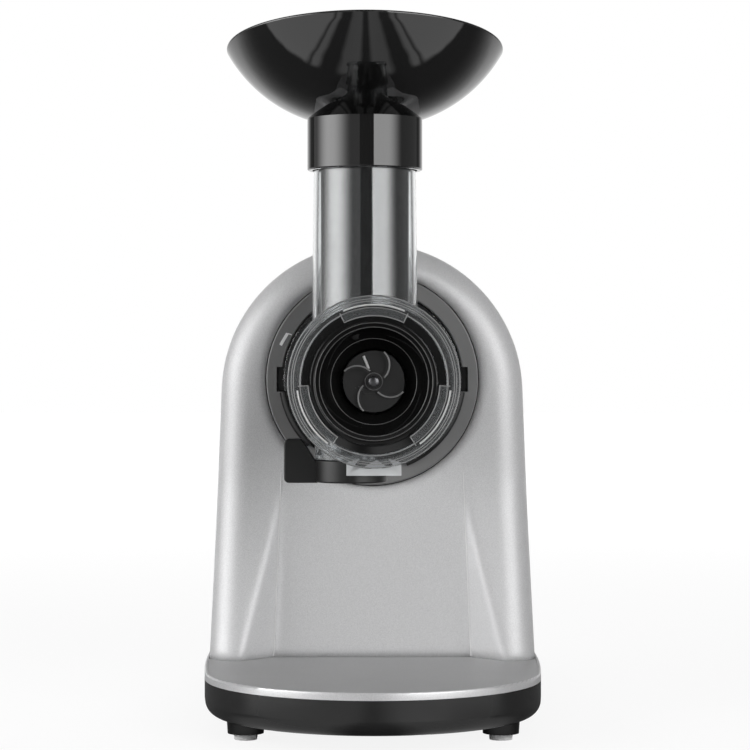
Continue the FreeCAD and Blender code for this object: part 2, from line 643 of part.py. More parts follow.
def main_housing():
    """Drawn facing front: local Y is height, and local Z runs forward from the cover joint."""
    body = new_body("housing_body")
    block = pad(body, arch_outline(sketch_on(body, "housing_arch"), "0"), "cover_y - flank_y")
    face, flank = "(cover_y - face_y)", "(cover_y - flank_y)"
    slope = "sqrt(flank_height^2 + flank_reach^2)"
    bend = f"(flank_blend_radius * ({slope} - flank_height) / flank_reach)"
    top = f"arch_z + arch_radius + {OVERCUT}"
    front_cut = outline(sketch_on(body, "housing_front", "YZ_Plane"), [
        ("deck_top", flank),
        (f"flank_z - {bend} * flank_height / {slope}", f"{face} + {bend} * flank_reach / {slope}",
         "flank_blend_radius", 1),
        (f"flank_z + {bend}", face),
        (top, face),
        (top, f"{flank} + {OVERCUT}"),
        ("deck_top", f"{flank} + {OVERCUT}")])
    front = pocket(body, front_cut, "3 * housing_foot_half_width", "FrontCut")
    front.Midplane = True
    doc.recompute()
    limit = value(face) - 0.01
    sole = value("deck_top")

    def on_front(edge):
        return edge.BoundBox.ZMin > limit and not in_plane(edge, "Y", sole) and not (
            edge.Curve.TypeId == "Part::GeomLine" and edge.BoundBox.XLength > value("arch_radius"))

    fillet(body, front, "face_edge_radius", on_front, "FaceEdge")
    doc.recompute()
    recess = body.newObject("PartDesign::SubtractiveLoft", "Recess")
    low, recess_top = f"deck_top - {OVERCUT}", f"flank_z + {bend}"
    walls = []
    for name, depth, widening in (("recess_back", face, "0"), ("recess_front", flank, "recess_flare")):
        wall = sketch_on(body, name, offset=depth)
        outline(wall, [(f"recess_half_width + {widening}", low),
                       (f"recess_top_half_width + {widening}", recess_top),
                       (f"-recess_top_half_width - {widening}", recess_top),
                       (f"-recess_half_width - {widening}", low)])
        walls.append(wall)
    recess.Profile = walls[0]
    recess.Sections = [walls[1]]
    recess.Ruled = True
    reach, flare = value(flank) - 0.01, value("recess_flare")

    def on_ridge(edge):
        box = edge.BoundBox
        return box.ZMax > reach and box.YMin < sole + 0.01 < box.YMax and box.XLength > flare / 2

    fillet(body, recess, "ridge_radius", on_ridge, "Ridge")
    place(body, y="cover_y", rotation=FACING_FRONT)

    depth = f"{face} - housing_wall"
    room = new_body("housing_room")
    space = pad(room, arch_outline(sketch_on(room, "housing_hollow"), "housing_wall", low), depth)
    level, room_sole = value(depth), value(low)
    fillet(room, space, "face_edge_radius - housing_wall",
           lambda e: in_plane(e, "Z", level) and not in_plane(e, "Y", room_sole))
    place(room, y="cover_y", rotation=FACING_FRONT)

    bosses = [cylinder(f"boss{n}", "boss_radius", "boss_length", x, "cover_y", z, FACING_FRONT)
              for n, (x, z) in enumerate(COVER_BOSSES)]
    bosses += [cylinder(f"pillar{n}", "boss_radius", "boss_length", x, y, "deck_top")
               for n, (x, y) in enumerate(PILLAR_PLACES)]
    shell = fuse("housing_shell", cut("housing_hollowed", body, room), *bosses)
    holes = [cylinder("housing_mouth", "bezel_radius + bezel_groove", "2 * housing_wall",
                      y="face_y - housing_wall", z="drum_z", rotation=ALONG_Y)]
    holes += [cylinder(f"pillar_hole{n}", "screw_radius", "boss_length / 3", x, y, "deck_top")
              for n, (x, y) in enumerate(PILLAR_PLACES)]
    holes += [cylinder(f"boss_hole{n}", "screw_radius", "screw_length", x, "cover_y", z, FACING_FRONT)
              for n, (x, z) in enumerate(COVER_BOSSES)]
    keep(drilled("housing_drilled", shell, holes), "main_housing")


def rear_cover():
    """Drawn facing front from its outer face, so that local Z runs forward into the housing."""
    body = new_body("cover_body")
    plate = pad(body, arch_outline(sketch_on(body, "cover_arch"), "0"), "cover_depth")
    sole = value("deck_top")
    fillet(body, plate, "cover_edge_radius",
           lambda e: in_plane(e, "Z", 0) and not in_plane(e, "Y", sole))
    low = f"deck_top - {OVERCUT}"
    hollow = arch_outline(sketch_on(body, "cover_hollow", offset="cover_depth"), "2 * housing_wall", low)
    pocket(body, hollow, "cover_depth - housing_wall", "Hollow")
    bosses = sketch_on(body, "cover_bosses", offset="housing_wall")
    for x, z in COVER_BOSSES:
        circle(bosses, x, z, "boss_radius")
    pad(body, bosses, "cover_depth - housing_wall", "Bosses")
    windows = sketch_on(body, "cover_windows")
    rectangle(windows, "-switch_half_width", "switch_z - switch_half_height", "switch_half_width",
              "switch_z + switch_half_height")
    circle(windows, "gland_x", "gland_z", "gland_radius")
    pocket(body, windows, f"housing_wall + {OVERCUT}", "Windows", back=True)
    slit = sketch_on(body, "cover_vent")
    end = "(vent_length - vent_width) / 2"
    base = "(deck_top + vent_height)"
    outline(slit, [(f"-{end}", f"{base} - vent_width / 2"),
                   (end, f"{base} - vent_width / 2", "vent_width / 2", 1),
                   (end, f"{base} + vent_width / 2"),
                   (f"-{end}", f"{base} + vent_width / 2", "vent_width / 2", 1)])
    vent = pocket(body, slit, f"housing_wall + {OVERCUT}", "Vent", back=True)
    rows = body.newObject("PartDesign::LinearPattern", "Vents")
    rows.Originals = [vent]
    rows.Direction = (slit, ["V_Axis"])
    bind(rows, "Length", "vent_pitch * (vent_count - 1)")
    bind(rows, "Occurrences", "vent_count")
    body.Tip = rows
    place(body, y="cover_back_y", rotation=FACING_FRONT)
    holes = [cylinder(f"cover_hole{n}", "screw_radius", "cover_depth", x, "cover_back_y", z,
                      FACING_FRONT) for n, (x, z) in enumerate(COVER_BOSSES)]
    keep(drilled("cover_drilled", body, holes), "rear_cover")
    screws = [screw(f"cover_screw{n}", "screw_head_radius", "screw_head", "screw_radius",
                    "cover_depth + screw_length - fit_gap", x, "cover_back_y", z, FACING_FRONT)
              for n, (x, z) in enumerate(COVER_BOSSES)]
    keep(group("cover_screw_group", screws), "cover_screws")


def drum_bezel():
    front = "face_y - bezel_proud"
    body = turned("bezel_ring", eased([
        ("bezel_bore_radius", front), ("bezel_radius", front), ("bezel_radius", "wall_y"),
        ("bezel_bore_radius", "wall_y")], (0, 1)), z="drum_z")
    length = f"bezel_proud + housing_wall + 2 * {OVERCUT}"
    notches = box("bezel_notches", "2 * (lug_radius + slide_gap)", length, "notch_width",
                  "-lug_radius - slide_gap", f"{front} - {OVERCUT}", "drum_z - notch_width / 2")
    keep(cut("bezel_cut", body, notches), "drum_bezel")


def drum_seat():
    outer = "seat_bore + seat_wall"
    rim = "lug_groove + seat_wall"
    body = turned("seat_cup", [
        ("lug_groove", "wall_y"), ("seat_flange_radius", "wall_y"),
        ("seat_flange_radius", "wall_y + seat_flange"), (rim, "wall_y + seat_flange"),
        (rim, "lug_groove_y + seat_wall"), (outer, "lug_groove_y + seat_wall"),
        (outer, "seat_back_y"), ("seat_boss_radius", "seat_back_y"), ("seat_boss_radius", "case_y"),
        ("gear_bearing_radius - bearing_wall", "case_y"),
        ("gear_bearing_radius - bearing_wall", "seat_y"), ("seat_bore", "seat_y"),
        ("seat_bore", "lug_groove_y"), ("lug_groove", "lug_groove_y")], z="drum_z")
    keep(body, "drum_seat")
    keep(drum_ring("seal_ring", "shaft_radius + running_gap", "gear_bearing_radius - bearing_wall",
                   "seat_y", "case_y"), "shaft_seal")


# Drum and the pieces on it

def drum():
    groove = "ring_y + ring_line_depth"
    near, far = (f"ring_line_radius {side} ring_line_width / 2" for side in "-+")
    barrel = turned("drum_barrel", eased([
        ("ring_bore_radius", "ring_y"), (near, "ring_y"), (near, groove), (far, groove), (far, "ring_y"),
        ("ring_radius", "ring_y"), ("ring_radius", "ring_back_y"),
        ("barrel_radius", "ring_back_y"), ("barrel_radius", "step_y"),
        ("throat_radius", "step_y + barrel_radius - throat_radius"), ("throat_radius", "collar_y"),
        ("collar_radius", "collar_y"), ("collar_radius", "collar_back_y"),
        ("collar_radius - collar_wall", "collar_back_y"),
        ("collar_radius - collar_wall", "collar_y + collar_web"),
        ("throat_bore_radius", "collar_y + collar_web"), ("throat_bore_radius", "step_y"),
        ("barrel_bore_radius", "step_y"), ("barrel_bore_radius", "strainer_seat_y"),
        ("ring_bore_radius", "strainer_seat_y")], (0, 5, 6, 11)), z="drum_z")
    tube_length = "(tube_top - drum_z)"
    tube = cone("tube_outside", "tube_foot_radius", "tube_top_radius", tube_length, "tube_x", "tube_y",
                "drum_z")
    spout = cylinder("spout_outside", "spout_radius", "spout_drop", "spout_x", "spout_y", "spout_bottom")
    ring_middle = "(ring_bore_radius + ring_radius) / 2"
    grip = box("grip_tab", "2 * grip_half_width", "grip_depth", f"grip_reach - {ring_middle}",
               "-grip_half_width", "ring_back_y - grip_depth", "drum_z - grip_reach")
    barrel_space = fuse(
        "drum_space",
        cylinder("front_space", "barrel_bore_radius", "step_y - ring_y", y="ring_y", z="drum_z",
                 rotation=ALONG_Y),
        cylinder("throat_space", "throat_bore_radius", "collar_y - ring_y", y="ring_y", z="drum_z",
                 rotation=ALONG_Y))
    stems = cut("drum_stems", fuse("drum_stubs", tube, spout), barrel_space)
    outside = fuse("drum_outside", barrel, stems, grip)
    tube_bore = cone("tube_bore", "tube_foot_radius - tube_wall", "tube_top_radius - tube_wall",
                     tube_length, "tube_x", "tube_y", "drum_z")
    spout_bore = cylinder("spout_bore", "spout_radius - spout_wall", "spout_drop - spout_floor",
                          "spout_x", "spout_y", "spout_bottom + spout_floor")
    pin_hole = cylinder("tap_pin_hole", "tap_pin_radius + running_gap", f"spout_floor + 2 * {OVERCUT}",
                        "spout_x", "spout_y", f"spout_bottom - {OVERCUT}")
    tools = [tube_bore, spout_bore, pin_hole] + ports("spout_port", "spout_bottom", "spout_floor")
    open_drum = drilled("drum_open", outside, tools)
    tabs = [sector(f"ring_tab{n}", "tab_radius", ring_middle, "ring_y", "ring_y + tab_depth",
                   "tab_angle", f"90 + 360 * {n} / tab_count") for n in range(int(value("tab_count")))]
    lugs = [sector(f"drum_lug{n}", "collar_radius - collar_wall / 2", "lug_radius", "wall_y + fit_gap",
                   "wall_y + fit_gap + lug_length", "lug_angle", f"{180 * n} - drum_twist")
            for n in range(2)]
    keep(fuse("drum_whole", open_drum, *tabs, *lugs), "drum")
    skirt = "collar_radius - collar_wall"
    keep(drum_ring("drum_gasket", f"{skirt} - drum_seal_depth", skirt,
                   "collar_back_y - drum_seal_width", "collar_back_y"), "drum_seal")


def ports(name, low, depth):
    """Four juice ports round the tap pin."""
    holes = []
    for number in range(4):
        step = number * 90
        holes.append(cylinder(f"{name}{number}", "port_radius", f"{depth} + 2 * {OVERCUT}",
                              f"spout_x + port_circle_radius * cos({step})",
                              f"spout_y + port_circle_radius * sin({step})", f"{low} - {OVERCUT}"))
    return holes


def juice_strainer():
    body = turned("strainer_sleeve", [
        ("cap_radius + 2 * fit_gap", "strainer_y"), ("ring_bore_radius - fit_gap", "strainer_y"),
        ("ring_bore_radius - fit_gap", "strainer_seat_y"), ("strainer_radius", "strainer_seat_y"),
        ("strainer_radius", "step_y"), ("strainer_bore_radius", "step_y"),
        ("strainer_bore_radius", "strainer_seat_y + cap_seal_depth"),
        ("cap_radius + 2 * fit_gap", "strainer_seat_y + cap_seal_depth")], z="drum_z")
    middle = "(strainer_seat_y + cap_seal_depth + step_y) / 2"
    slot = rectangle(sketch_on(body, "strainer_slot", "XZ_Plane"), "-slot_width / 2",
                     f"{middle} - slot_length / 2", "slot_width / 2", f"{middle} + slot_length / 2")
    opening = pocket(body, slot, f"strainer_radius + {OVERCUT}", "Slot")
    polar(body, opening, "slot_count", "Slots")
    keep(body, "juice_strainer")


def end_cap():
    seal_y = "cap_shoulder_y + cap_seal_depth"
    body = turned("cap_plug", eased([
        ("cap_step_radius", "cap_front_y"), ("cap_radius", "cap_front_y"),
        ("cap_radius", "cap_shoulder_y"), ("cap_nose_radius", "cap_shoulder_y"),
        ("cap_nose_radius", "cap_back_y"), ("cap_bore_radius", "cap_back_y"),
        ("cap_bore_radius", "cap_back_y - cap_bore_radius / 4"),
        ("cap_throat_radius", "nose_y"), ("cap_throat_radius", "nose_y - cap_recess"),
        ("cap_cone_radius", "cap_front_y + 2.5 * cap_recess"),
        ("cap_cone_radius", "cap_front_y + cap_recess"),
        ("cap_step_radius", "cap_front_y + cap_recess")], (0, 1)), z="drum_z")
    lugs = [sector(f"cap_lug{n}", "cap_radius - cap_recess / 2", "ring_bore_radius - fit_gap", "cap_lug_y",
                   "cap_lug_y + cap_lug_depth", "cap_lug_angle", f"90 + 360 * {n} / tab_count")
            for n in range(int(value("tab_count")))]
    keep(fuse("cap_whole", body, *lugs), "end_cap")
    keep(drum_ring("cap_gasket", "cap_nose_radius", "cap_radius", "cap_shoulder_y", seal_y), "cap_seal")


def juice_tap():
    """Round valve cap on the spout, held by a snap pin and turned by a side handle."""
    skirt = "spout_radius - tap_wall"
    floor = "tap_top - tap_disc"
    head = "spout_bottom + spout_floor + fit_gap"
    body = turned("tap_cup", eased([
        ("0", floor), (skirt, floor), (skirt, "tap_bottom"), ("spout_radius", "tap_bottom"),
        ("spout_radius", "tap_top"), ("tap_pin_radius", "tap_top"), ("tap_pin_radius", head),
        ("tap_pin_radius + tap_pin_radius / 2", head), ("tap_pin_radius", f"{head} + tap_pin_radius"),
        ("0", f"{head} + tap_pin_radius")], (2, 3, 4)), "spout_x", "spout_y", rotation=UPRIGHT)
    lever = new_body("tap_lever")
    low = "tap_bottom - fit_gap"
    inner = "-spout_radius"
    side = outline(sketch_on(lever, "lever_side", "XZ_Plane"), eased([
        ("-handle_reach", low), (f"{inner} + tap_wall / 2", low), (f"{inner} + tap_wall / 2", "tap_top"),
        (inner, "tap_top"), (f"{inner} - handle_slope", f"{low} + handle_height"),
        ("-handle_reach", f"{low} + handle_height")], (0, 5), "handle_round"))
    slab = pad(lever, side, "handle_thickness")
    slab.Midplane = True
    half = value("handle_thickness / 2")
    fillet(lever, slab, "edge_round", lambda e: in_plane(e, "Y", half) or in_plane(e, "Y", -half))
    place(lever, "spout_x", "spout_y")
    keep(drilled("tap_drilled", fuse("tap_solid", body, lever), ports("tap_port", floor, "tap_disc")),
         "juice_tap")


def bowl_point(radius, level):
    return f"bowl_centre_radius + sqrt(({radius})^2 - ({level})^2)"


def hopper():
    """Collar, throat and bowl in one turned piece, with its rim cut on a slope."""
    inner = "(bowl_radius - bowl_wall)"
    top = "bowl_radius / 4"
    bore = "tube_top_radius + hopper_gap"
    meets = "bowl_z - sqrt(bowl_radius^2 - (hopper_collar_radius - bowl_centre_radius)^2)"
    body = turned("hopper_turned", eased([
        (bore, "hopper_bottom"), ("hopper_collar_radius", "hopper_bottom"),
        ("hopper_collar_radius", meets, "bowl_radius", 1),
        (bowl_point("bowl_radius", top), f"bowl_z - {top}"),
        (bowl_point(inner, top), f"bowl_z - {top}", inner, -1),
        ("ledge_radius", "ledge_z"), ("hopper_throat_radius", "ledge_z"),
        ("hopper_throat_radius", "tube_stop"), (bore, "tube_stop")], (1,)),
        "tube_x", "tube_y", rotation=UPRIGHT)
    slope = FreeCAD.Rotation(FreeCAD.Vector(1, 0, 0), -value("rim_tilt"))
    half = "2 * bowl_radius"
    waste = box("rim_waste", f"2 * {half}", f"2 * {half}", half, rotation=slope)
    bind(waste, "Placement.Base.x", f"tube_x - {half}")
    bind(waste, "Placement.Base.y", f"tube_y - {half} * cos(rim_tilt)")
    bind(waste, "Placement.Base.z", f"tube_top + rim_side_height + {half} * sin(rim_tilt)")
    sloped = cut("hopper_cut", body, waste)
    doc.recompute()
    rim = doc.addObject("Part::Fillet", "hopper_rim")
    rim.Base = sloped
    level = value("tube_top + rim_side_height - rim_round")
    radius = value("rim_round")
    rim.Edges = [(number, radius, radius) for number, edge in enumerate(sloped.Shape.Edges, start=1)
                 if edge.CenterOfMass.z > level and edge.Curve.TypeId != "Part::GeomCircle"]
    keep(rim, "hopper")


def pusher():
    wall = "pusher_radius - pusher_wall"
    lip = "pusher_lip"
    flange = "ledge_radius - slide_gap"
    keep(turned("pusher_tube", eased([
        ("0", "pusher_bottom"), ("pusher_radius", "pusher_bottom"), ("pusher_radius", "pusher_seat"),
        (flange, "pusher_seat"), (flange, lip), (wall, lip), (wall, "pusher_bottom + pusher_wall"),
        ("0", "pusher_bottom + pusher_wall")], (1, 3, 4)), "tube_x", "tube_y", rotation=UPRIGHT), "pusher")
    crown = "knob_top - knob_height"
    keep(turned("pusher_knob", [
        ("0", f"{lip} - 2 * pusher_wall"), (wall, f"{lip} - 2 * pusher_wall"), (wall, lip),
        ("pusher_neck_radius", f"{lip} + pusher_wall"), ("pusher_neck_radius", f"{crown} - pusher_wall"),
        ("knob_radius", crown), ("knob_radius", "knob_top - knob_height / 2", "knob_height / 2", 1),
        ("knob_radius - knob_height / 2", "knob_top"), ("0", "knob_top")],
        "tube_x", "tube_y", rotation=UPRIGHT), "pusher_cap")


def auger():
    """Tapered core with one helical flight, a vaned nose and a hex socket in its shank."""
    body = turned("auger_core", [
        ("0", "nose_y"), ("auger_nose_radius", "nose_y"), ("auger_nose_radius", "nose_back_y"),
        ("auger_core_front", "flight_y - flight_root"), ("auger_core_front", "flight_y"),
        ("auger_core_rear", "flight_end_y"),
        ("auger_core_rear", "auger_back_y - 2 * auger_back_disc"),
        ("auger_radius", "auger_back_y - auger_back_disc"), ("auger_radius", "auger_back_y"),
        ("auger_shank_radius", "auger_back_y"), ("auger_shank_radius", "auger_end_y"),
        ("0", "auger_end_y")], z="drum_z")
    root = "auger_core_rear / 2"
    section = outline(sketch_on(body, "flight_section", "XZ_Plane"), [
        (root, "flight_y - flight_root / 2"), ("auger_radius", "flight_y - flight_tip / 2"),
        ("auger_radius", "flight_y + flight_tip / 2"), (root, "flight_y + flight_root / 2")])
    flight = body.newObject("PartDesign::AdditiveHelix", "Flight")
    flight.Profile = section
    flight.ReferenceAxis = (section, ["V_Axis"])
    flight.Mode = 0
    bind(flight, "Pitch", "auger_pitch")
    bind(flight, "Height", "flight_end_y - flight_y - flight_root")
    hub = cylinder("auger_hub", "auger_hub_radius", "auger_hub_length", y="nose_y - auger_hub_length",
                   z="drum_z", rotation=ALONG_Y)
    sweep = "(2 * asin(auger_nose_radius / (2 * vane_radius)) / 1 deg)"
    vanes = []
    for number in range(int(value("vane_count"))):
        aim = f"(vane_start + 360 * {number} / vane_count)"
        vanes.append(sector(
            f"vane{number}", "vane_radius - vane_width / 2", "vane_radius + vane_width / 2",
            "nose_y - vane_height", "nose_y", sweep, f"{aim} + 180 + {sweep} / 2",
            f"vane_radius * cos({aim})", f"drum_z + vane_radius * sin({aim})"))
    trimmed = doc.addObject("Part::MultiCommon", "vanes_trimmed")
    disc = cylinder("vane_disc", "auger_nose_radius", "vane_height", y="nose_y - vane_height",
                    z="drum_z", rotation=ALONG_Y)
    trimmed.Shapes = [fuse("vane_set", *vanes), disc]
    pin_y = "nose_y - auger_hub_length - auger_pin_radius"
    pin = cylinder("nose_pin", "auger_pin_radius", "auger_pin_length", y=pin_y, z="drum_z",
                   rotation=ALONG_Y)
    socket = hex_bar("auger_socket", "hex_flats", "hex_depth", "auger_end_y - hex_depth")
    keep(drilled("auger_drilled", fuse("auger_solid", body, hub, trimmed), [pin, socket]), "auger")
    keep(cylinder("steel_pin", "auger_pin_radius", "auger_pin_length", y=pin_y, z="drum_z",
                  rotation=ALONG_Y), "auger_pin")


def hex_bar(name, flats, length, start):
    bar = doc.addObject("Part::Prism", name)
    bar.Polygon = 6
    bind(bar, "Circumradius", f"({flats}) / (2 * cos(30))")
    bind(bar, "Height", length)
    return place(bar, y=start, z="drum_z", rotation=ALONG_Y)


# Gear train

def tooth_edges(teeth, module, middle):
    """Edges of one tooth and of the root after it, with involute flanks drawn as arcs."""
    pitch = teeth * module / 2
    base, tip = pitch * math.cos(PRESSURE_ANGLE), pitch + ADDENDUM * module
    root = pitch - DEDENDUM * module
    start = max(root, base)

    def involute(radius):
        angle = math.acos(min(base / radius, 1))
        return math.tan(angle) - angle

    def half_angle(radius):
        space = value("tooth_gap") / (2 * pitch)
        return math.pi / (2 * teeth) - space + involute(pitch) - involute(radius)

    def point(radius, angle):
        return FreeCAD.Vector(radius * math.cos(middle + angle), radius * math.sin(middle + angle), 0)

    def flank(side):
        radii = (start, (start + tip) / 2, tip)
        points = [point(r, side * half_angle(r)) for r in radii]
        return Part.Arc(*(points if side < 0 else points[::-1])).toShape()

    edge = half_angle(start)
    space = 2 * math.pi / teeth - edge
    edges = [flank(-1), Part.Arc(point(tip, -half_angle(tip)), point(tip, 0),
                                 point(tip, half_angle(tip))).toShape(), flank(1)]
    if root < base:
        edges.insert(0, Part.LineSegment(point(root, -edge), point(start, -edge)).toShape())
        edges.append(Part.LineSegment(point(start, edge), point(root, edge)).toShape())
    edges.append(Part.Arc(point(root, edge), point(root, math.pi / teeth), point(root, space)).toShape())
    return edges


def gear(label, teeth, module, start, end, bore, z, mesh_angle):
    """Spur gear along Y with a tooth, or with half a pitch added a gap, at mesh_angle from +X."""
    count = int(value(teeth))
    pitch_angle = 2 * math.pi / count
    edges = []
    for number in range(count):
        edges += tooth_edges(count, value(module), mesh_angle + number * pitch_angle)
    width = value(f"({end}) - ({start})")
    solid = Part.Face(Part.Wire(edges)).extrude(FreeCAD.Vector(0, 0, width))
    feature = doc.addObject("Part::Feature", label + "_teeth")
    feature.Shape = solid.cut(Part.makeCylinder(value(bore), width))
    place(feature, 0, end, z, FACING_FRONT)
    keep(feature, label)


def gear_train():
    up, down = math.pi / 2, -math.pi / 2
    half_idler = math.pi / value("idler_teeth")
    half_output = math.pi / value("output_teeth")
    idler_bore = "idler_pin_radius + running_gap"
    gear("output_gear", "output_teeth", "coarse_module", "output_gear_y", "output_gear_end",
         "shaft_radius", "drum_z", down + half_output)
    gear("idler_pinion", "pinion_teeth", "coarse_module", "output_gear_y - pinion_overhang",
         "idler_gear_y", idler_bore, "idler_z", up)
    gear("idler_gear", "idler_teeth", "fine_module", "idler_gear_y", "idler_gear_end", idler_bore,
         "idler_z", down + half_idler)
    gear("motor_pinion", "pinion_teeth", "fine_module", "idler_gear_y - pinion_overhang",
         "idler_gear_end + pinion_overhang", "motor_shaft_radius", "rotor_z", up)
    shaft = cylinder("shaft_round", "shaft_radius", "rear_bearing_y + gear_bearing_width - auger_end_y",
                     y="auger_end_y", z="drum_z", rotation=ALONG_Y)
    tongue = hex_bar("shaft_hex", "hex_flats - fit_gap", "hex_depth - fit_gap",
                     "auger_end_y - hex_depth + fit_gap")
    keep(fuse("shaft_whole", shaft, tongue), "output_shaft")


MID_WALL = "(case_inner + case_wall / 2)"
CASE_SCREWS = [(f"{MID_WALL} * cos({angle})", f"drum_z + {MID_WALL} * sin({angle})")
               for angle in (20, 90, 160)]
CASE_SCREWS += [(f"{side}{MID_WALL}", "rotor_z") for side in ("", "-")]


def arched(sketch, radius, low):
    return outline(sketch, [(radius, low), (radius, "drum_z", radius, 1), (f"-({radius})", "drum_z"),
                            (f"-({radius})", low)])


def gearbox():
    """Cast case on two legs, drawn facing front from its rear edge, and the cover behind it."""
    boss = "gear_bearing_radius + bearing_wall"
    neck = "gear_bearing_radius - bearing_wall"
    case = new_body("case_body")
    pad(case, arched(sketch_on(case, "case_outline"), "case_outer", "deck_top"), "case_depth")
    pocket(case, arched(sketch_on(case, "case_hollow"), "case_inner", "case_floor"),
           "case_depth - case_plate", "Hollow", back=True)
    window = rectangle(sketch_on(case, "case_window"), "leg_width - case_outer", f"deck_top - {OVERCUT}",
                       "case_outer - leg_width", "case_floor - leg_top")
    pocket(case, window, "case_depth", "Window", back=True)
    ring_boss = circle(sketch_on(case, "case_boss", offset="case_depth - case_plate"), "0", "drum_z", boss)
    pad(case, ring_boss, "front_bearing_end - case_y - case_plate", "Boss", back=True)
    seat = circle(sketch_on(case, "case_seat", offset="case_back_y - front_bearing_end"), "0", "drum_z",
                  "gear_bearing_radius")
    pocket(case, seat, "gear_bearing_width", "Seat", back=True)
    bores = circle(sketch_on(case, "case_bores", offset="case_depth"), "0", "drum_z", neck)
    circle(bores, "0", "idler_z", "idler_pin_radius")
    pocket(case, bores, f"case_plate + {OVERCUT}", "Bores")
    place(case, y="case_back_y", rotation=FACING_FRONT)
    threads = [cylinder(f"case_thread{n}", "case_screw_radius", "case_screw_length", x, "case_back_y", z,
                        FACING_FRONT) for n, (x, z) in enumerate(CASE_SCREWS)]
    keep(drilled("case_drilled", case, threads), "gearbox_case")

    cover = new_body("gear_cover_body")
    pad(cover, arched(sketch_on(cover, "gear_cover_outline"), "case_outer", "case_floor - leg_top"),
        "case_plate")
    ring_boss = circle(sketch_on(cover, "gear_cover_boss", offset="case_plate"), "0", "drum_z", boss)
    pad(cover, ring_boss, "case_back_y - rear_bearing_y", "Boss")
    seat = circle(sketch_on(cover, "gear_cover_seat", offset="plate_y - rear_bearing_y"), "0", "drum_z",
                  "gear_bearing_radius")
    pocket(cover, seat, "gear_bearing_width", "Seat")
    bores = circle(sketch_on(cover, "gear_cover_bores", offset="case_plate"), "0", "idler_z",
                   "idler_pin_radius")
    circle(bores, "0", "rotor_z", "motor_bearing_radius - bearing_wall")
    pocket(cover, bores, f"case_plate + {OVERCUT}", "Bores")
    place(cover, y="plate_y", rotation=FACING_FRONT)
    holes = [cylinder(f"gear_cover_hole{n}", "case_screw_radius", "case_plate", x, "plate_y", z,
                      FACING_FRONT) for n, (x, z) in enumerate(CASE_SCREWS)]
    keep(drilled("gear_cover_drilled", cover, holes), "gearbox_cover")
    screws = [screw(f"case_screw{n}", "case_screw_head_radius", "case_screw_head", "case_screw_radius",
                    "case_plate + case_screw_length - fit_gap", x, "plate_y", z, FACING_FRONT)
              for n, (x, z) in enumerate(CASE_SCREWS)]
    keep(group("case_screw_group", screws), "gearbox_screws")
    keep(cylinder("idler_axle", "idler_pin_radius", "plate_y - case_y", y="case_y", z="idler_z",
                  rotation=ALONG_Y), "idler_pin")
    for label, start in (("output_bearing_front", "front_bearing_y"),
                         ("output_bearing_rear", "rear_bearing_y")):
        keep(drum_ring(label + "_ring", "shaft_radius + running_gap", "gear_bearing_radius", start,
                       f"{start} + gear_bearing_width"), label)


# Motor

LONG_SCREWS = [(f"{sx}long_screw_x", f"rotor_z {sz} long_screw_x") for sx in ("", "-") for sz in "+-"]


def motor_bracket(label, name, y, boss, seat_start, seat_depth, seat_back, posts, posts_back):
    """Square end plate with a bearing seat and four posts, drawn facing front from its rear face."""
    body = new_body(name)
    pad(body, rounded(sketch_on(body, name + "_plate"), "motor_half_size", "motor_half_size",
                      "motor_corner_radius", y="rotor_z"), "bracket_plate")
    round_boss = circle(sketch_on(body, name + "_boss"), "0", "rotor_z",
                        "motor_bearing_radius + bearing_wall")
    pad(body, round_boss, boss, "Boss", back=True)
    legs = sketch_on(body, name + "_posts", offset=0 if posts_back else "bracket_plate")
    for x, z in LONG_SCREWS:
        circle(legs, x, z, "post_radius")
    pad(body, legs, posts, "Posts", back=posts_back)
    seat = circle(sketch_on(body, name + "_seat", offset=seat_start), "0", "rotor_z",
                  "motor_bearing_radius")
    pocket(body, seat, seat_depth, "Seat", back=seat_back)
    if seat_back:
        neck = circle(sketch_on(body, name + "_neck", offset="bracket_plate"), "0", "rotor_z",
                      "motor_bearing_radius - bearing_wall")
        pocket(body, neck, "bracket_plate", "Neck")
    place(body, y=y, rotation=FACING_FRONT)
    holes = [cylinder(f"{name}_hole{n}", "long_screw_radius", "tail_y + bracket_plate - plate_y", x,
                      "plate_y", z, ALONG_Y) for n, (x, z) in enumerate(LONG_SCREWS)]
    keep(drilled(name + "_drilled", body, holes), label)


def motor_frame():
    motor_bracket("motor_front_bracket", "front_bracket", "motor_y",
                  "motor_bearing_y + motor_bearing_width - motor_y",
                  "motor_y - motor_bearing_y - motor_bearing_width", "motor_bearing_width", True,
                  "stator_gap", True)
    motor_bracket("motor_rear_bracket", "rear_bracket", "tail_y + bracket_plate",
                  "tail_bearing_end - tail_y", "bracket_plate", "tail_bearing_end - tail_y", False,
                  "tail_gap", False)
    screws = [screw(f"long_screw{n}", "long_screw_head_radius", "long_screw_head", "long_screw_radius",
                    "tail_y + bracket_plate - plate_y", x, "tail_y + bracket_plate", z, FACING_FRONT)
              for n, (x, z) in enumerate(LONG_SCREWS)]
    keep(group("long_screw_group", screws), "motor_screws")
    for label, start in (("rotor_bearing_front", "motor_bearing_y"),
                         ("rotor_bearing_rear", "tail_bearing_y")):
        keep(ring(label + "_ring", "motor_shaft_radius + running_gap", "motor_bearing_radius", start,
                  f"{start} + motor_bearing_width", z="rotor_z"), label)


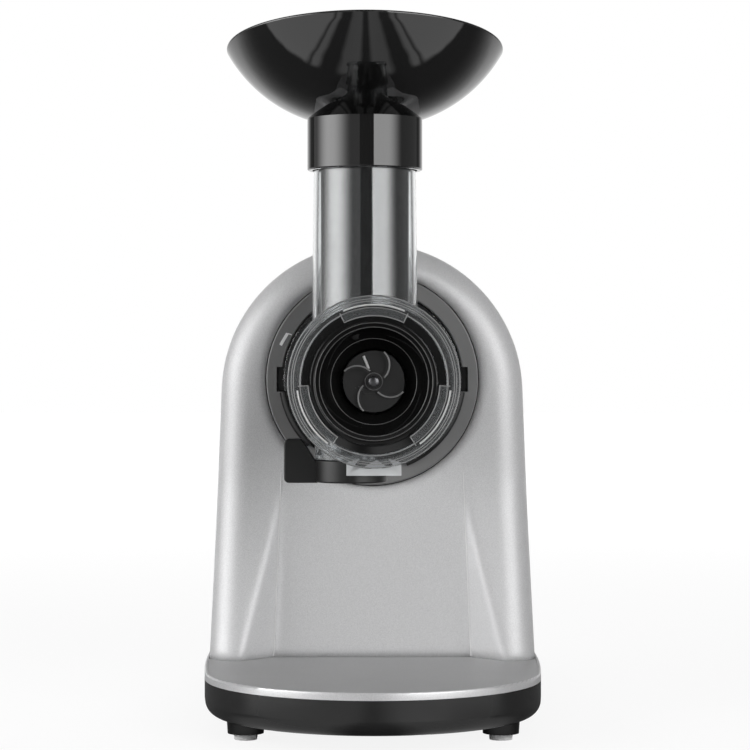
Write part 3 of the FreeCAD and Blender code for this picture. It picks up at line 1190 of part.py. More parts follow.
def stator():
    body = new_body("stator_body")
    pad(body, rounded(sketch_on(body, "stator_outline"), "motor_half_size", "motor_half_size",
                      "motor_corner_radius", y="rotor_z"), "stator_length")
    bore = circle(sketch_on(body, "stator_bore"), "0", "rotor_z", "stator_bore_radius")
    pocket(body, bore, "stator_length", "Bore", back=True)
    reach = "(coil_low + coil_height + fit_gap)"
    windows = sketch_on(body, "stator_windows")
    near, far = "(coil_inner_half_width - fit_gap)", "(coil_half_width + fit_gap)"
    rectangle(windows, near, f"rotor_z - {reach}", far, f"rotor_z + {reach}")
    rectangle(windows, f"-{far}", f"rotor_z - {reach}", f"-{near}", f"rotor_z + {reach}")
    pocket(body, windows, "stator_length", "Windows", back=True)
    place(body, y="stator_end", rotation=FACING_FRONT)
    holes = [cylinder(f"stator_hole{n}", "long_screw_radius", "stator_length", x, "stator_y", z, ALONG_Y)
             for n, (x, z) in enumerate(LONG_SCREWS)]
    keep(drilled("stator_drilled", body, holes), "stator_core")
    coils = []
    for name, z in (("coil_top", "rotor_z + coil_low"), ("coil_low", "rotor_z - coil_low - coil_height")):
        coil = new_body(name + "_body")
        section = rounded(sketch_on(coil, name + "_plan"), "coil_half_width",
                          "stator_length / 2 + coil_overhang", "coil_overhang")
        rectangle(section, "-coil_inner_half_width", "-stator_length / 2 - fit_gap",
                  "coil_inner_half_width", "stator_length / 2 + fit_gap")
        pad(coil, section, "coil_height")
        coils.append(place(coil, y="stator_y + stator_length / 2", z=z))
    keep(group("coil_group", coils), "stator_coils")


def rotor():
    core = new_body("rotor_body")
    disc = circle(sketch_on(core, "rotor_disc"), "0", "0", "rotor_radius")
    circle(disc, "0", "0", "motor_shaft_radius")
    pad(core, disc, "stator_length")
    slot = rectangle(sketch_on(core, "rotor_slot", offset="stator_length"),
                     "rotor_radius - rotor_slot_depth", "-rotor_slot_width / 2",
                     f"rotor_radius + {OVERCUT}", "rotor_slot_width / 2")
    polar(core, pocket(core, slot, "stator_length", "Slot"), "rotor_slot_count")
    keep(place(core, y="stator_y", z="rotor_z", rotation=ALONG_Y), "rotor_core")
    keep(cylinder("rotor_spindle", "motor_shaft_radius",
                  "tail_bearing_end - idler_gear_y + pinion_overhang",
                  y="idler_gear_y - pinion_overhang", z="rotor_z", rotation=ALONG_Y), "rotor_shaft")
    keep(ring("commutator_ring", "motor_shaft_radius", "commutator_radius", "commutator_y",
              "commutator_y + commutator_width", z="rotor_z"), "commutator")
    fan = new_body("fan_body")
    hub = circle(sketch_on(fan, "fan_hub"), "0", "0", "fan_hub_radius")
    circle(hub, "0", "0", "motor_shaft_radius")
    pad(fan, hub, "fan_width", "Hub")
    back = circle(sketch_on(fan, "fan_disc"), "0", "0", "fan_radius")
    circle(back, "0", "0", "motor_shaft_radius")
    pad(fan, back, "fan_blade", "Disc")
    plan = rectangle(sketch_on(fan, "fan_plan"), "fan_hub_radius - fan_blade", "-fan_blade / 2",
                     "fan_radius", "fan_blade / 2")
    polar(fan, pad(fan, plan, "fan_width", "Blade"), "fan_blade_count")
    keep(place(fan, y="fan_y", z="rotor_z", rotation=ALONG_Y), "cooling_fan")
    brushes = [box(f"brush{n}", "brush_length", "tail_y - commutator_y - fan_gap", "2 * brush_half_height",
                   x, "commutator_y + fan_gap", "rotor_z - brush_half_height")
               for n, x in enumerate(("commutator_radius + fit_gap",
                                      "-commutator_radius - fit_gap - brush_length"))]
    keep(group("brush_group", brushes), "brush_holders")


def motor_stand():
    """Hat-shaped sheet stand on the deck with a rubber block that carries the stator."""
    body = new_body("stand_body")
    wide, sheet = "stand_half_width", "stand_sheet"
    foot = f"({wide} + stand_flange)"
    right = [(foot, "deck_top"), (foot, f"deck_top + {sheet}"), (wide, f"deck_top + {sheet}"),
             (wide, "stand_top")]
    inner = [(f"({wide} - {sheet})", f"stand_top - {sheet}"), (f"({wide} - {sheet})", "deck_top")]
    left = [(f"-{x}", z) for x, z in right[::-1]]
    hat = right + left + [(f"-{x}", z) for x, z in inner[::-1]] + inner
    pad(body, outline(sketch_on(body, "stand_hat"), hat), "stand_length")
    middle = "stator_y + stator_length / 2"
    keep(place(body, y=f"{middle} + stand_length / 2", rotation=FACING_FRONT), "motor_stand")
    keep(box("mount_block", "2 * stand_half_width", "stand_length", "mount_thickness",
             "-stand_half_width", f"{middle} - stand_length / 2", "stand_top"), "rubber_mount")


# Switch and cord gland on the rear cover

def switch_and_gland():
    rim_x, rim_z = "(switch_half_width + switch_rim)", "(switch_half_height + switch_rim)"
    frame = box("switch_frame", f"2 * {rim_x}", "switch_bezel", f"2 * {rim_z}", f"-{rim_x}",
                "cover_back_y", f"switch_z - {rim_z}")
    block = box("switch_block", "2 * switch_half_width", "switch_body_depth", "2 * switch_half_height",
                "-switch_half_width", "cover_back_y - switch_body_depth", "switch_z - switch_half_height")
    well_x, well_z = "(rocker_half_width + fit_gap)", "(rocker_half_height + slide_gap)"
    well = box("switch_well", f"2 * {well_x}", f"switch_bezel + {well_z} + {OVERCUT}", f"2 * {well_z}",
               f"-{well_x}", f"cover_back_y - {well_z}", f"switch_z - {well_z}")
    keep(cut("switch_cut", fuse("switch_solid", frame, block), well), "switch_body")
    rocker = new_body("rocker_body")
    height = "rocker_half_height"
    rise = "switch_bezel + rocker_rise"
    side = outline(sketch_on(rocker, "rocker_side", "YZ_Plane"), [
        ("0", height, height, 1), ("0", f"-{height}"), (rise, f"-{height}"), ("switch_bezel", "0"),
        (rise, height)])
    width = pad(rocker, side, "2 * rocker_half_width")
    width.Midplane = True
    tilt = FreeCAD.Rotation(FreeCAD.Vector(1, 0, 0), -value("rocker_tilt"))
    keep(place(rocker, y="cover_back_y", z="switch_z", rotation=tilt), "rocker_button")
    inside = "cover_back_y - housing_wall"
    keep(turned("gland_turned", [
        ("gland_bore_radius", f"{inside} - gland_flange"),
        ("gland_flange_radius", f"{inside} - gland_flange"), ("gland_flange_radius", inside),
        ("gland_radius", inside), ("gland_radius", "cover_back_y"),
        ("gland_flange_radius", "cover_back_y"),
        ("gland_radius", "cover_back_y + gland_flange"),
        ("gland_bore_radius", "cover_back_y + gland_flange")], "gland_x", 0, "gland_z"), "cord_gland")


def check_and_write():
    doc.recompute()
    for thing in doc.Objects:
        if {"Invalid", "Error"} & set(thing.State):
            raise RuntimeError(f"{thing.Name} ({thing.Label}): {thing.State}")
    os.makedirs("parts", exist_ok=True)
    for thing in sub_parts:
        if thing.Shape.isNull() or not thing.Shape.isValid():
            raise RuntimeError(f"{thing.Label}: bad shape")
    for thing in sub_parts:
        thing.Shape.exportStep(f"parts/{thing.Label}.step")
    print(len(sub_parts), "sub-parts written")


for build in (base_pan, deck_plate, feet, base_screws, main_housing, rear_cover, drum_bezel, drum_seat,
              drum, juice_strainer, end_cap, juice_tap, hopper, pusher, auger, gear_train, gearbox,
              motor_frame, stator, rotor, motor_stand, switch_and_gland):
    build()
check_and_write()
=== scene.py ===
import json
import math

import bmesh
import bpy
from mathutils import Matrix, Vector


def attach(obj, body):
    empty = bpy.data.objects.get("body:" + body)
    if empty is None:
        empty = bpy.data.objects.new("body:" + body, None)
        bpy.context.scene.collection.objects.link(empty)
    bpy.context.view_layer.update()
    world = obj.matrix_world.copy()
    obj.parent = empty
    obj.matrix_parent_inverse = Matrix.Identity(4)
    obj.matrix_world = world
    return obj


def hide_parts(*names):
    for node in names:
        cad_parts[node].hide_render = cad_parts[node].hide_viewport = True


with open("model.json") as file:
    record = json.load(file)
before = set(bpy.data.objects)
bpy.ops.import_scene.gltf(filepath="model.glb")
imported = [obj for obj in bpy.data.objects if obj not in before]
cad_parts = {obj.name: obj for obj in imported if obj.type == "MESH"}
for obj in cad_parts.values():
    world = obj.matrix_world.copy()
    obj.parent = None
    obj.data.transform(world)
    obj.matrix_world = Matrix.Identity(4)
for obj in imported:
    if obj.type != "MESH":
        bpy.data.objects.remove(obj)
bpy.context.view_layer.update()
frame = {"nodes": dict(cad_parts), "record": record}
nodes = frame["nodes"]
print("frame loaded:", len(nodes), "nodes")


# shader helpers

def link(tree, source, target):
    tree.links.new(source, target)


def addNode(tree, kind, **inputs):
    node = tree.nodes.new("ShaderNode" + kind)
    for name, setting in inputs.items():
        node.inputs[name].default_value = setting
    return node


def newGroup(name, inputs, outputs):
    group = bpy.data.node_groups.new(name, "ShaderNodeTree")
    for label, kind, setting in inputs:
        socket = group.interface.new_socket(label, in_out="INPUT", socket_type="NodeSocket" + kind)
        if setting is not None:
            socket.default_value = setting
    for label, kind in outputs:
        group.interface.new_socket(label, in_out="OUTPUT", socket_type="NodeSocket" + kind)
    return group, group.nodes.new("NodeGroupInput"), group.nodes.new("NodeGroupOutput")


def makeMouldGrain():
    # fine skin that a mould leaves on plastic
    group, entry, result = newGroup("mouldGrain", [
        ("Vector", "Vector", None), ("Scale", "Float", 900.0), ("Waviness", "Float", 0.35)],
        [("Height", "Float")])
    fine = addNode(group, "TexNoise", Detail=3.0, Roughness=0.6)
    wide = addNode(group, "TexNoise", Scale=38.0, Detail=1.0)
    mixed = group.nodes.new("ShaderNodeMix")
    for noise in (fine, wide):
        link(group, entry.outputs["Vector"], noise.inputs["Vector"])
    link(group, entry.outputs["Scale"], fine.inputs["Scale"])
    link(group, entry.outputs["Waviness"], mixed.inputs["Factor"])
    link(group, fine.outputs["Fac"], mixed.inputs["A"])
    link(group, wide.outputs["Fac"], mixed.inputs["B"])
    link(group, mixed.outputs["Result"], result.inputs["Height"])
    return group


def makeHandling():
    # soft patches where hands and cloths leave the gloss uneven
    group, entry, result = newGroup("handlingMarks", [
        ("Vector", "Vector", None), ("Scale", "Float", 24.0), ("Low", "Float", 0.1),
        ("High", "Float", 0.2)], [("Roughness", "Float"), ("Mask", "Float")])
    patches = addNode(group, "TexNoise", Detail=4.0, Roughness=0.62, Distortion=0.4)
    spread = addNode(group, "MapRange")
    spread.inputs["From Min"].default_value = 0.3
    spread.inputs["From Max"].default_value = 0.7
    link(group, entry.outputs["Vector"], patches.inputs["Vector"])
    link(group, entry.outputs["Scale"], patches.inputs["Scale"])
    link(group, patches.outputs["Fac"], spread.inputs["Value"])
    link(group, entry.outputs["Low"], spread.inputs["To Min"])
    link(group, entry.outputs["High"], spread.inputs["To Max"])
    link(group, spread.outputs["Result"], result.inputs["Roughness"])
    link(group, patches.outputs["Fac"], result.inputs["Mask"])
    return group


def makeFlakes():
    # metal flakes in the silver paint
    group, entry, result = newGroup("paintFlakes", [
        ("Vector", "Vector", None), ("Scale", "Float", 5200.0),
        ("Dark", "Color", (0.5, 0.5, 0.5, 1)), ("Light", "Color", (0.6, 0.6, 0.6, 1))],
        [("Color", "Color"), ("Height", "Float")])
    cells = addNode(group, "TexVoronoi")
    tone = group.nodes.new("ShaderNodeSeparateColor")
    mixed = group.nodes.new("ShaderNodeMix")
    mixed.data_type = "RGBA"
    link(group, entry.outputs["Vector"], cells.inputs["Vector"])
    link(group, entry.outputs["Scale"], cells.inputs["Scale"])
    link(group, cells.outputs["Color"], tone.inputs["Color"])
    link(group, tone.outputs["Red"], mixed.inputs["Factor"])
    link(group, entry.outputs["Dark"], mixed.inputs["A"])
    link(group, entry.outputs["Light"], mixed.inputs["B"])
    link(group, mixed.outputs["Result"], result.inputs["Color"])
    link(group, tone.outputs["Green"], result.inputs["Height"])
    return group


mouldGrain, handlingMarks, paintFlakes = makeMouldGrain(), makeHandling(), makeFlakes()


def placeGroup(tree, group, coordinates, **inputs):
    node = tree.nodes.new("ShaderNodeGroup")
    node.node_tree = group
    link(tree, coordinates, node.inputs["Vector"])
    for name, setting in inputs.items():
        node.inputs[name].default_value = setting
    return node


def startMaterial(name, **sockets):
    material = bpy.data.materials.new(name)
    material.use_nodes = True
    tree = material.node_tree
    shader = tree.nodes["Principled BSDF"]
    for label, setting in sockets.items():
        shader.inputs[label.replace("_", " ")].default_value = setting
    coordinates = addNode(tree, "TexCoord").outputs["Object"]
    return material, tree, shader, coordinates


def addBump(tree, shader, height, strength, distance):
    bump = addNode(tree, "Bump", Strength=strength, Distance=distance)
    link(tree, height, bump.inputs["Height"])
    link(tree, bump.outputs["Normal"], shader.inputs["Normal"])
    return bump


def grey(level, coolness=1.01):
    return (level, level, level * coolness, 1)


def addMarks(tree, shader, coordinates, roughness, **inputs):
    # uneven gloss between the two given roughnesses
    low, high = roughness
    patches = placeGroup(tree, handlingMarks, coordinates, Low=low, High=high, **inputs)
    link(tree, patches.outputs["Roughness"], shader.inputs["Roughness"])
    return patches.outputs["Mask"]


def addTone(tree, shader, mask, colour, shades):
    # base colour that drifts between two shades of one tone
    tone = tree.nodes.new("ShaderNodeMix")
    tone.data_type = "RGBA"
    for end, shade in zip("AB", shades):
        tone.inputs[end].default_value = tuple(shade * c for c in colour) + (1,)
    link(tree, mask, tone.inputs["Factor"])
    link(tree, tone.outputs["Result"], shader.inputs["Base Color"])


relief = {"skin": 0.0002, "flakes": 0.0001, "metal": 0.0001}  # depth of the bumps


def plasticMaterial(name, level, roughness, grain=900.0, bump=0.1, tint=(1, 1, 1), **sockets):
    material, tree, shader, coordinates = startMaterial(name, **sockets)
    mask = addMarks(tree, shader, coordinates, roughness)
    addTone(tree, shader, mask, [level * c for c in tint], shades=(0.88, 1.12))
    skin = placeGroup(tree, mouldGrain, coordinates, Scale=grain)
    addBump(tree, shader, skin.outputs["Height"], bump, relief["skin"])
    return material


def silverPaint(name, dark, light, metallic=0.2, gloss=(0.4, 0.46), rounding=0.005):
    material, tree, shader, coordinates = startMaterial(name, Metallic=metallic)
    flakes = placeGroup(tree, paintFlakes, coordinates, Dark=grey(dark), Light=grey(light))
    link(tree, flakes.outputs["Color"], shader.inputs["Base Color"])
    addMarks(tree, shader, coordinates, gloss, Scale=15.0)
    bump = addBump(tree, shader, flakes.outputs["Height"], strength=0.03, distance=relief["flakes"])
    if rounding:  # sharp ridges take light as if they were rounded
        soft = addNode(tree, "Bevel", Radius=rounding)
        soft.samples = 8
        link(tree, soft.outputs["Normal"], bump.inputs["Normal"])
    return material


def clearPlastic(name, tone, transmission, roughness, bump=0.02):
    material, tree, shader, coordinates = startMaterial(
        name, Base_Color=tone, Transmission_Weight=transmission, IOR=1.49)
    addMarks(tree, shader, coordinates, roughness)
    skin = placeGroup(tree, mouldGrain, coordinates, Scale=120.0, Waviness=0.8)
    addBump(tree, shader, skin.outputs["Height"], bump, relief["skin"])
    # shadows let most of the light through
    passing = addNode(tree, "BsdfTransparent", Color=(0.86, 0.88, 0.88, 1))
    mixed = tree.nodes.new("ShaderNodeMixShader")
    link(tree, addNode(tree, "LightPath").outputs["Is Shadow Ray"], mixed.inputs["Fac"])
    link(tree, shader.outputs["BSDF"], mixed.inputs[1])
    link(tree, passing.outputs["BSDF"], mixed.inputs[2])
    link(tree, mixed.outputs["Shader"], tree.nodes["Material Output"].inputs["Surface"])
    return material


def metalMaterial(name, colour, roughness, grain=500.0, stretch=(1, 1, 1)):
    material, tree, shader, coordinates = startMaterial(name, Metallic=1.0)
    turn = addNode(tree, "Mapping", Scale=stretch)
    link(tree, coordinates, turn.inputs["Vector"])
    mask = addMarks(tree, shader, turn.outputs["Vector"], roughness, Scale=60.0)
    addTone(tree, shader, mask, colour, shades=(0.82, 1))
    skin = placeGroup(tree, mouldGrain, turn.outputs["Vector"], Scale=grain)
    addBump(tree, shader, skin.outputs["Height"], strength=0.12, distance=relief["metal"])
    return material


finishes = {
    "silver_paint": silverPaint("silverPaint", 0.55, 0.73, rounding=0.008),
    "black_gloss": plasticMaterial("blackGloss", 0.007, (0.015, 0.05), 700.0, 0.006,
                                   Specular_IOR_Level=0.75),
    "black_satin": plasticMaterial("blackSatin", 0.009, (0.12, 0.19), 1400.0, 0.03),
    "grey_bezel": plasticMaterial("bezelGrey", 0.175, (0.34, 0.44), 1500.0, 0.1),
    "clear_plastic": clearPlastic("clearPlastic", (0.95, 0.965, 0.97, 1), 1.0, (0.01, 0.05)),
    "pad_rubber": plasticMaterial("padRubber", 0.72, (0.55, 0.7), 1100.0, 0.25),
    "seal_rubber": plasticMaterial("sealRubber", 0.02, (0.45, 0.6), 1300.0, 0.2),
    "steel": metalMaterial("turnedSteel", (0.62, 0.62, 0.63), (0.18, 0.3), 700.0, (1, 0.08, 1)),
    "screw_steel": metalMaterial("zincPlate", (0.68, 0.68, 0.67), (0.14, 0.28)),
    "cast_alloy": metalMaterial("castAlloy", (0.58, 0.59, 0.6), (0.4, 0.55), 420.0),
    "core_steel": metalMaterial("coreSteel", (0.3, 0.3, 0.32), (0.35, 0.5), 1500.0, (0.1, 1, 0.1)),
    "copper": metalMaterial("enamelCopper", (0.72, 0.36, 0.18), (0.22, 0.36), 900.0),
    "gear_nylon": plasticMaterial("gearNylon", 0.72, (0.38, 0.5), 800.0, 0.08,
                                  tint=(1, 0.98, 0.92)),
    "fan_plastic": plasticMaterial("fanPlastic", 0.06, (0.3, 0.42)),
}

# nodes whose surface differs from the rest of their slot
ownFinish = {
    "auger": plasticMaterial("augerSatin", 0.016, (0.2, 0.3), 1100.0, 0.04),
    "base_feet": plasticMaterial("footGloss", 0.009, (0.06, 0.12), 900.0, 0.02),
    "auger_pin": metalMaterial("pinSteel", (0.11, 0.11, 0.115), (0.26, 0.34), 300.0),
    "base_pan": plasticMaterial("panSatin", 0.018, (0.2, 0.28), 1400.0, 0.04),
    "end_cap": plasticMaterial("capGloss", 0.006, (0.03, 0.08), 700.0, 0.006,
                               Specular_IOR_Level=0.35),
    "juice_tap": plasticMaterial("tapSatin", 0.008, (0.26, 0.36), 1200.0, 0.04,
                                 Specular_IOR_Level=0.4),
}

slotOf = {row["node"]: row["material_slot"] for row in frame["record"]["subparts"]}
for name, obj in nodes.items():
    obj.data.materials.clear()
    obj.data.materials.append(ownFinish.get(name, finishes[slotOf[name]]))
print("finishes set on", len(slotOf), "nodes")


# pieces that dress the solids

drumAxis = 0.1758  # height of the line that the drum and the auger turn on
cadCrease = 24  # degrees, for copies of CAD meshes


def placedObject(name, mesh, body, slot, *replaced):
    piece = bpy.data.objects.new(name, mesh)
    bpy.context.scene.collection.objects.link(piece)
    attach(piece, body)
    if replaced:
        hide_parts(*replaced)


def smoothByAngle(mesh, limit=30):
    shape = bmesh.new()
    shape.from_mesh(mesh)
    bmesh.ops.remove_doubles(shape, verts=shape.verts, dist=1e-6)
    for face in shape.faces:
        face.smooth = True
    for edge in shape.edges:
        edge.smooth = len(edge.link_faces) == 2 and edge.calc_face_angle(0) < math.radians(limit)
    shape.to_mesh(mesh)
    shape.free()


def newTree(name, inputs):
    tree = bpy.data.node_groups.new(name, "GeometryNodeTree")
    for label, kind in [("Geometry", "Geometry")] + inputs:
        tree.interface.new_socket(label, in_out="INPUT", socket_type="NodeSocket" + kind)
    tree.interface.new_socket("Geometry", in_out="OUTPUT", socket_type="NodeSocketGeometry")
    return tree, tree.nodes.new("NodeGroupInput"), tree.nodes.new("NodeGroupOutput")


def geometryNode(tree, kind, **inputs):
    node = tree.nodes.new(kind)
    for label, setting in inputs.items():
        node.inputs[label.replace("_", " ")].default_value = setting
    return node


def finishTree(tree, entry, result, instances):
    realized = geometryNode(tree, "GeometryNodeRealizeInstances")
    finish = geometryNode(tree, "GeometryNodeSetMaterial")
    link(tree, instances, realized.inputs["Geometry"])
    link(tree, realized.outputs["Geometry"], finish.inputs["Geometry"])
    link(tree, entry.outputs["Material"], finish.inputs["Material"])
    link(tree, finish.outputs["Geometry"], result.inputs["Geometry"])


def makeBeadTree():
    # a bead of oval section along the given lines, repeated round the local Z axis
    tree, entry, result = newTree("beadsRound", [
        ("Width", "Float"), ("Height", "Float"), ("Count", "Int"), ("Material", "Material")])
    curve = geometryNode(tree, "GeometryNodeMeshToCurve")
    upright = geometryNode(tree, "GeometryNodeSetCurveNormal")
    upright.mode = "Z_UP"
    section = geometryNode(tree, "GeometryNodeCurvePrimitiveCircle", Resolution=10, Radius=1.0)
    oval = geometryNode(tree, "ShaderNodeCombineXYZ", Z=1.0)
    sized = geometryNode(tree, "GeometryNodeTransform")
    bead = geometryNode(tree, "GeometryNodeCurveToMesh", Fill_Caps=True)
    spots = geometryNode(tree, "GeometryNodePoints")
    step = geometryNode(tree, "ShaderNodeMath")
    step.operation = "DIVIDE"
    step.inputs[0].default_value = math.tau
    angle = geometryNode(tree, "ShaderNodeMath")
    angle.operation = "MULTIPLY"
    turn = geometryNode(tree, "ShaderNodeCombineXYZ")
    copies = geometryNode(tree, "GeometryNodeInstanceOnPoints")
    link(tree, entry.outputs["Geometry"], curve.inputs["Mesh"])
    link(tree, curve.outputs["Curve"], upright.inputs["Curve"])
    link(tree, entry.outputs["Width"], oval.inputs["X"])
    link(tree, entry.outputs["Height"], oval.inputs["Y"])
    link(tree, section.outputs["Curve"], sized.inputs["Geometry"])
    link(tree, oval.outputs["Vector"], sized.inputs["Scale"])
    link(tree, upright.outputs["Curve"], bead.inputs["Curve"])
    link(tree, sized.outputs["Geometry"], bead.inputs["Profile Curve"])
    link(tree, entry.outputs["Count"], spots.inputs["Count"])
    link(tree, entry.outputs["Count"], step.inputs[1])
    link(tree, step.outputs["Value"], angle.inputs[0])
    link(tree, tree.nodes.new("GeometryNodeInputIndex").outputs["Index"], angle.inputs[1])
    link(tree, angle.outputs["Value"], turn.inputs["Z"])
    link(tree, spots.outputs["Points"], copies.inputs["Points"])
    link(tree, bead.outputs["Mesh"], copies.inputs["Instance"])
    link(tree, turn.outputs["Vector"], copies.inputs["Rotation"])
    finishTree(tree, entry, result, copies.outputs["Instances"])
    return tree


def makeHeadTree():
    # one screw head on every point, each turned to where it was driven home
    tree, entry, result = newTree("screwHeads", [
        ("Head", "Object"), ("Seed", "Int"), ("Material", "Material")])
    head = geometryNode(tree, "GeometryNodeObjectInfo")
    spin = geometryNode(tree, "FunctionNodeRandomValue")
    spin.inputs[3].default_value = math.tau
    turn = geometryNode(tree, "ShaderNodeCombineXYZ")
    copies = geometryNode(tree, "GeometryNodeInstanceOnPoints")
    link(tree, entry.outputs["Head"], head.inputs["Object"])
    link(tree, entry.outputs["Seed"], spin.inputs["Seed"])
    link(tree, spin.outputs[1], turn.inputs["Z"])
    link(tree, entry.outputs["Geometry"], copies.inputs["Points"])
    link(tree, head.outputs["Geometry"], copies.inputs["Instance"])
    link(tree, turn.outputs["Vector"], copies.inputs["Rotation"])
    finishTree(tree, entry, result, copies.outputs["Instances"])
    return tree


beadTree, headTree = makeBeadTree(), makeHeadTree()


def grownMesh(name, lines, tree, settings, place):
    holder = bpy.data.objects.new(name + "Source", lines)
    bpy.context.scene.collection.objects.link(holder)
    modifier = holder.modifiers.new(name, "NODES")
    modifier.node_group = tree
    for socket in tree.interface.items_tree:
        if socket.in_out == "INPUT" and socket.name in settings:
            modifier[socket.identifier] = settings[socket.name]
    ready = holder.evaluated_get(bpy.context.evaluated_depsgraph_get())
    mesh = bpy.data.meshes.new_from_object(ready)
    bpy.data.objects.remove(holder)
    mesh.name = name
    mesh.transform(place)
    smoothByAngle(mesh)
    return mesh


def lineMesh(name, runs, closed):
    points, edges = [], []
    for run in runs:
        first = len(points)
        points += run
        edges += [(first + n, first + n + 1) for n in range(len(run) - 1)]
        if closed:
            edges.append((len(points) - 1, first))
    mesh = bpy.data.meshes.new(name)
    mesh.from_pydata(points, edges, [])
    return mesh


def arc(radius, start, end, depth, centre=(0, 0), steps=40):
    angles = [math.radians(start + (end - start) * n / steps) for n in range(steps + 1)]
    x, y = centre
    return [(x + radius * math.cos(a), y + radius * math.sin(a), depth) for a in angles]


def ring(radius, depth, sides):
    return arc(radius, 0, 360 - 360 / sides, depth, steps=sides - 1)


# local X to the right, Y up and Z towards the viewer, about the drum's axis
facingFront = Matrix.Translation((0, 0, drumAxis)) @ Matrix.Rotation(math.radians(90), 4, "X")


def addBeads(name, runs, bead, body, slot, material, count=1, closed=False, place=facingFront):
    settings = {"Width": bead[0], "Height": bead[1], "Count": count, "Material": material}
    mesh = grownMesh(name, lineMesh(name, runs, closed), beadTree, settings, place)
    placedObject(name, mesh, body, slot)


# pale bead for black edges: partly rubbed wear, partly painted highlight
edgeWearAndHighlight = plasticMaterial("edgeWearAndHighlight", 0.085, (0.2, 0.3), 1200.0, 0.05)
# paler bead for the vane edges: partly rubbed wear, partly painted highlight
vaneWearAndHighlight = plasticMaterial("vaneWearAndHighlight", 0.17, (0.2, 0.3), 1200.0, 0.05)
# brighter bead across the auger's nose: painted highlight of a step's edge
barPaintedHighlight = plasticMaterial("barPaintedHighlight", 0.42, (0.3, 0.4), 1200.0, 0.05)
# pale opaque beads for the clear drum: painted highlights on its edges and tab slots
clearEdgeHighlight = plasticMaterial("clearEdgeHighlight", 0.26, (0.12, 0.2), 600.0, 0.04)
clearSlotHighlight = plasticMaterial("clearSlotHighlight", 0.6, (0.12, 0.2), 600.0, 0.04)
frostClear = clearPlastic("frostClear", (0.62, 0.64, 0.65, 1), 0.95, (0.13, 0.19), 0.008)
# paler, less clear copy for the drum's grip: painted highlight
gripPaintedHighlight = clearPlastic("gripPaintedHighlight", (0.92, 0.93, 0.94, 1), 0.58, (0.04, 0.08))
# near-white bead for the recess seams: painted highlight
seamPaintedHighlight = plasticMaterial("seamPaintedHighlight", 0.8, (0.3, 0.4), 900.0, 0.03)
markWhite = plasticMaterial("markWhite", 0.86, (0.3, 0.4), 900.0, 0.03)
# dark, smoky copy for the drum's spout: painted shade
stemPaintedShade = clearPlastic("stemPaintedShade", (0.42, 0.44, 0.45, 1), 0.96, (0.06, 0.1), 0.01)

# the deck keeps its CAD shape; its upward-facing tray gets a darker copy of the silver paint as
# painted shade, and its lip a brighter, glossier copy as painted highlight
tray = {"level": 0.9, "paint": silverPaint("trayPaintedShade", 0.34, 0.44),
        "lip": silverPaint("lipPaintedHighlight", 0.64, 0.8, 0.42, (0.3, 0.35), rounding=0)}


def dressedCopy(node, name, materials):
    mesh = nodes[node].data.copy()
    mesh.name = name
    smoothByAngle(mesh, cadCrease)
    mesh.materials.clear()
    for material in materials:
        mesh.materials.append(material)
    return mesh


def makeDeck():
    mesh = dressedCopy("deck_plate", "deckShell", (tray["lip"], tray["paint"]))
    # upward-facing faces take the darker copy (painted shade), the rest the brighter lip copy
    # (painted highlight)
    for face in mesh.polygons:
        face.material_index = int(face.normal.z > tray["level"])
    placedObject("deckShell", mesh, "base", "silver_paint", "deck_plate")


makeDeck()

# the drum keeps its CAD shape; its moulded ring gets a rougher, greyer copy of the clear plastic,
# its grip a paler, less clear copy as painted highlight, and its spout a dark, smoky copy as
# painted shade
drum = {"ringBack": -0.1508, "ringReach": 0.0412, "gripTop": 0.1375,
        "stemBack": -0.11, "stemTop": 0.1475}


def makeDrum():
    materials = (finishes["clear_plastic"], frostClear, gripPaintedHighlight, stemPaintedShade)
    mesh = dressedCopy("drum", "drumShell", materials)
    # ring faces take the greyer copy, grip faces the paler copy (painted highlight), spout faces
    # the dark copy (painted shade)
    for face in mesh.polygons:
        middle = face.center
        reach = math.hypot(middle.x, middle.z - drumAxis)
        if middle.y < drum["ringBack"] and reach < drum["ringReach"]:
            face.material_index = 1
        elif middle.y < drum["ringBack"] and middle.z < drum["gripTop"]:
            face.material_index = 2
        elif middle.y < drum["stemBack"] and middle.z < drum["stemTop"]:
            face.material_index = 3
    placedObject("drumShell", mesh, "drum_set", "clear_plastic", "drum")


makeDrum()

# pale opaque beads on the clear drum's mouth: painted highlights along its moulded edges and tab
# slots
mouth = {
    "face": 0.1600, "lines": (0.0406, 0.0391, 0.0381, 0.0350), "bead": (0.00022, 0.0002),
    "slotRadius": 0.0364, "slotHalf": 23.5, "slotBead": (0.00042, 0.0003),
    "tabInner": 0.0312, "tabOuter": 0.0360, "tabHalf": 26.6, "tabBead": (0.00028, 0.00022),
    "tabCount": 3, "middle": 90, "sides": 120,
}


def makeMouth():
    depth, middle, count = mouth["face"], mouth["middle"], mouth["tabCount"]
    rings = [ring(radius, depth, mouth["sides"]) for radius in mouth["lines"]]
    addBeads("ringLines", rings, mouth["bead"],
             "drum_set", "clear_plastic", clearEdgeHighlight, closed=True)
    low, high = middle - mouth["slotHalf"], middle + mouth["slotHalf"]
    addBeads("tabSlots", [arc(mouth["slotRadius"], low, high, depth)], mouth["slotBead"],
             "drum_set", "clear_plastic", clearSlotHighlight, count)
    low, high = middle - mouth["tabHalf"], middle + mouth["tabHalf"]
    corners = arc(mouth["tabOuter"], low, high, depth, steps=1)
    frameLine = corners[:1] + arc(mouth["tabInner"], low, high, depth) + corners[1:]
    addBeads("tabFrames", [frameLine], mouth["tabBead"],
             "drum_set", "clear_plastic", clearEdgeHighlight, count)


makeMouth()

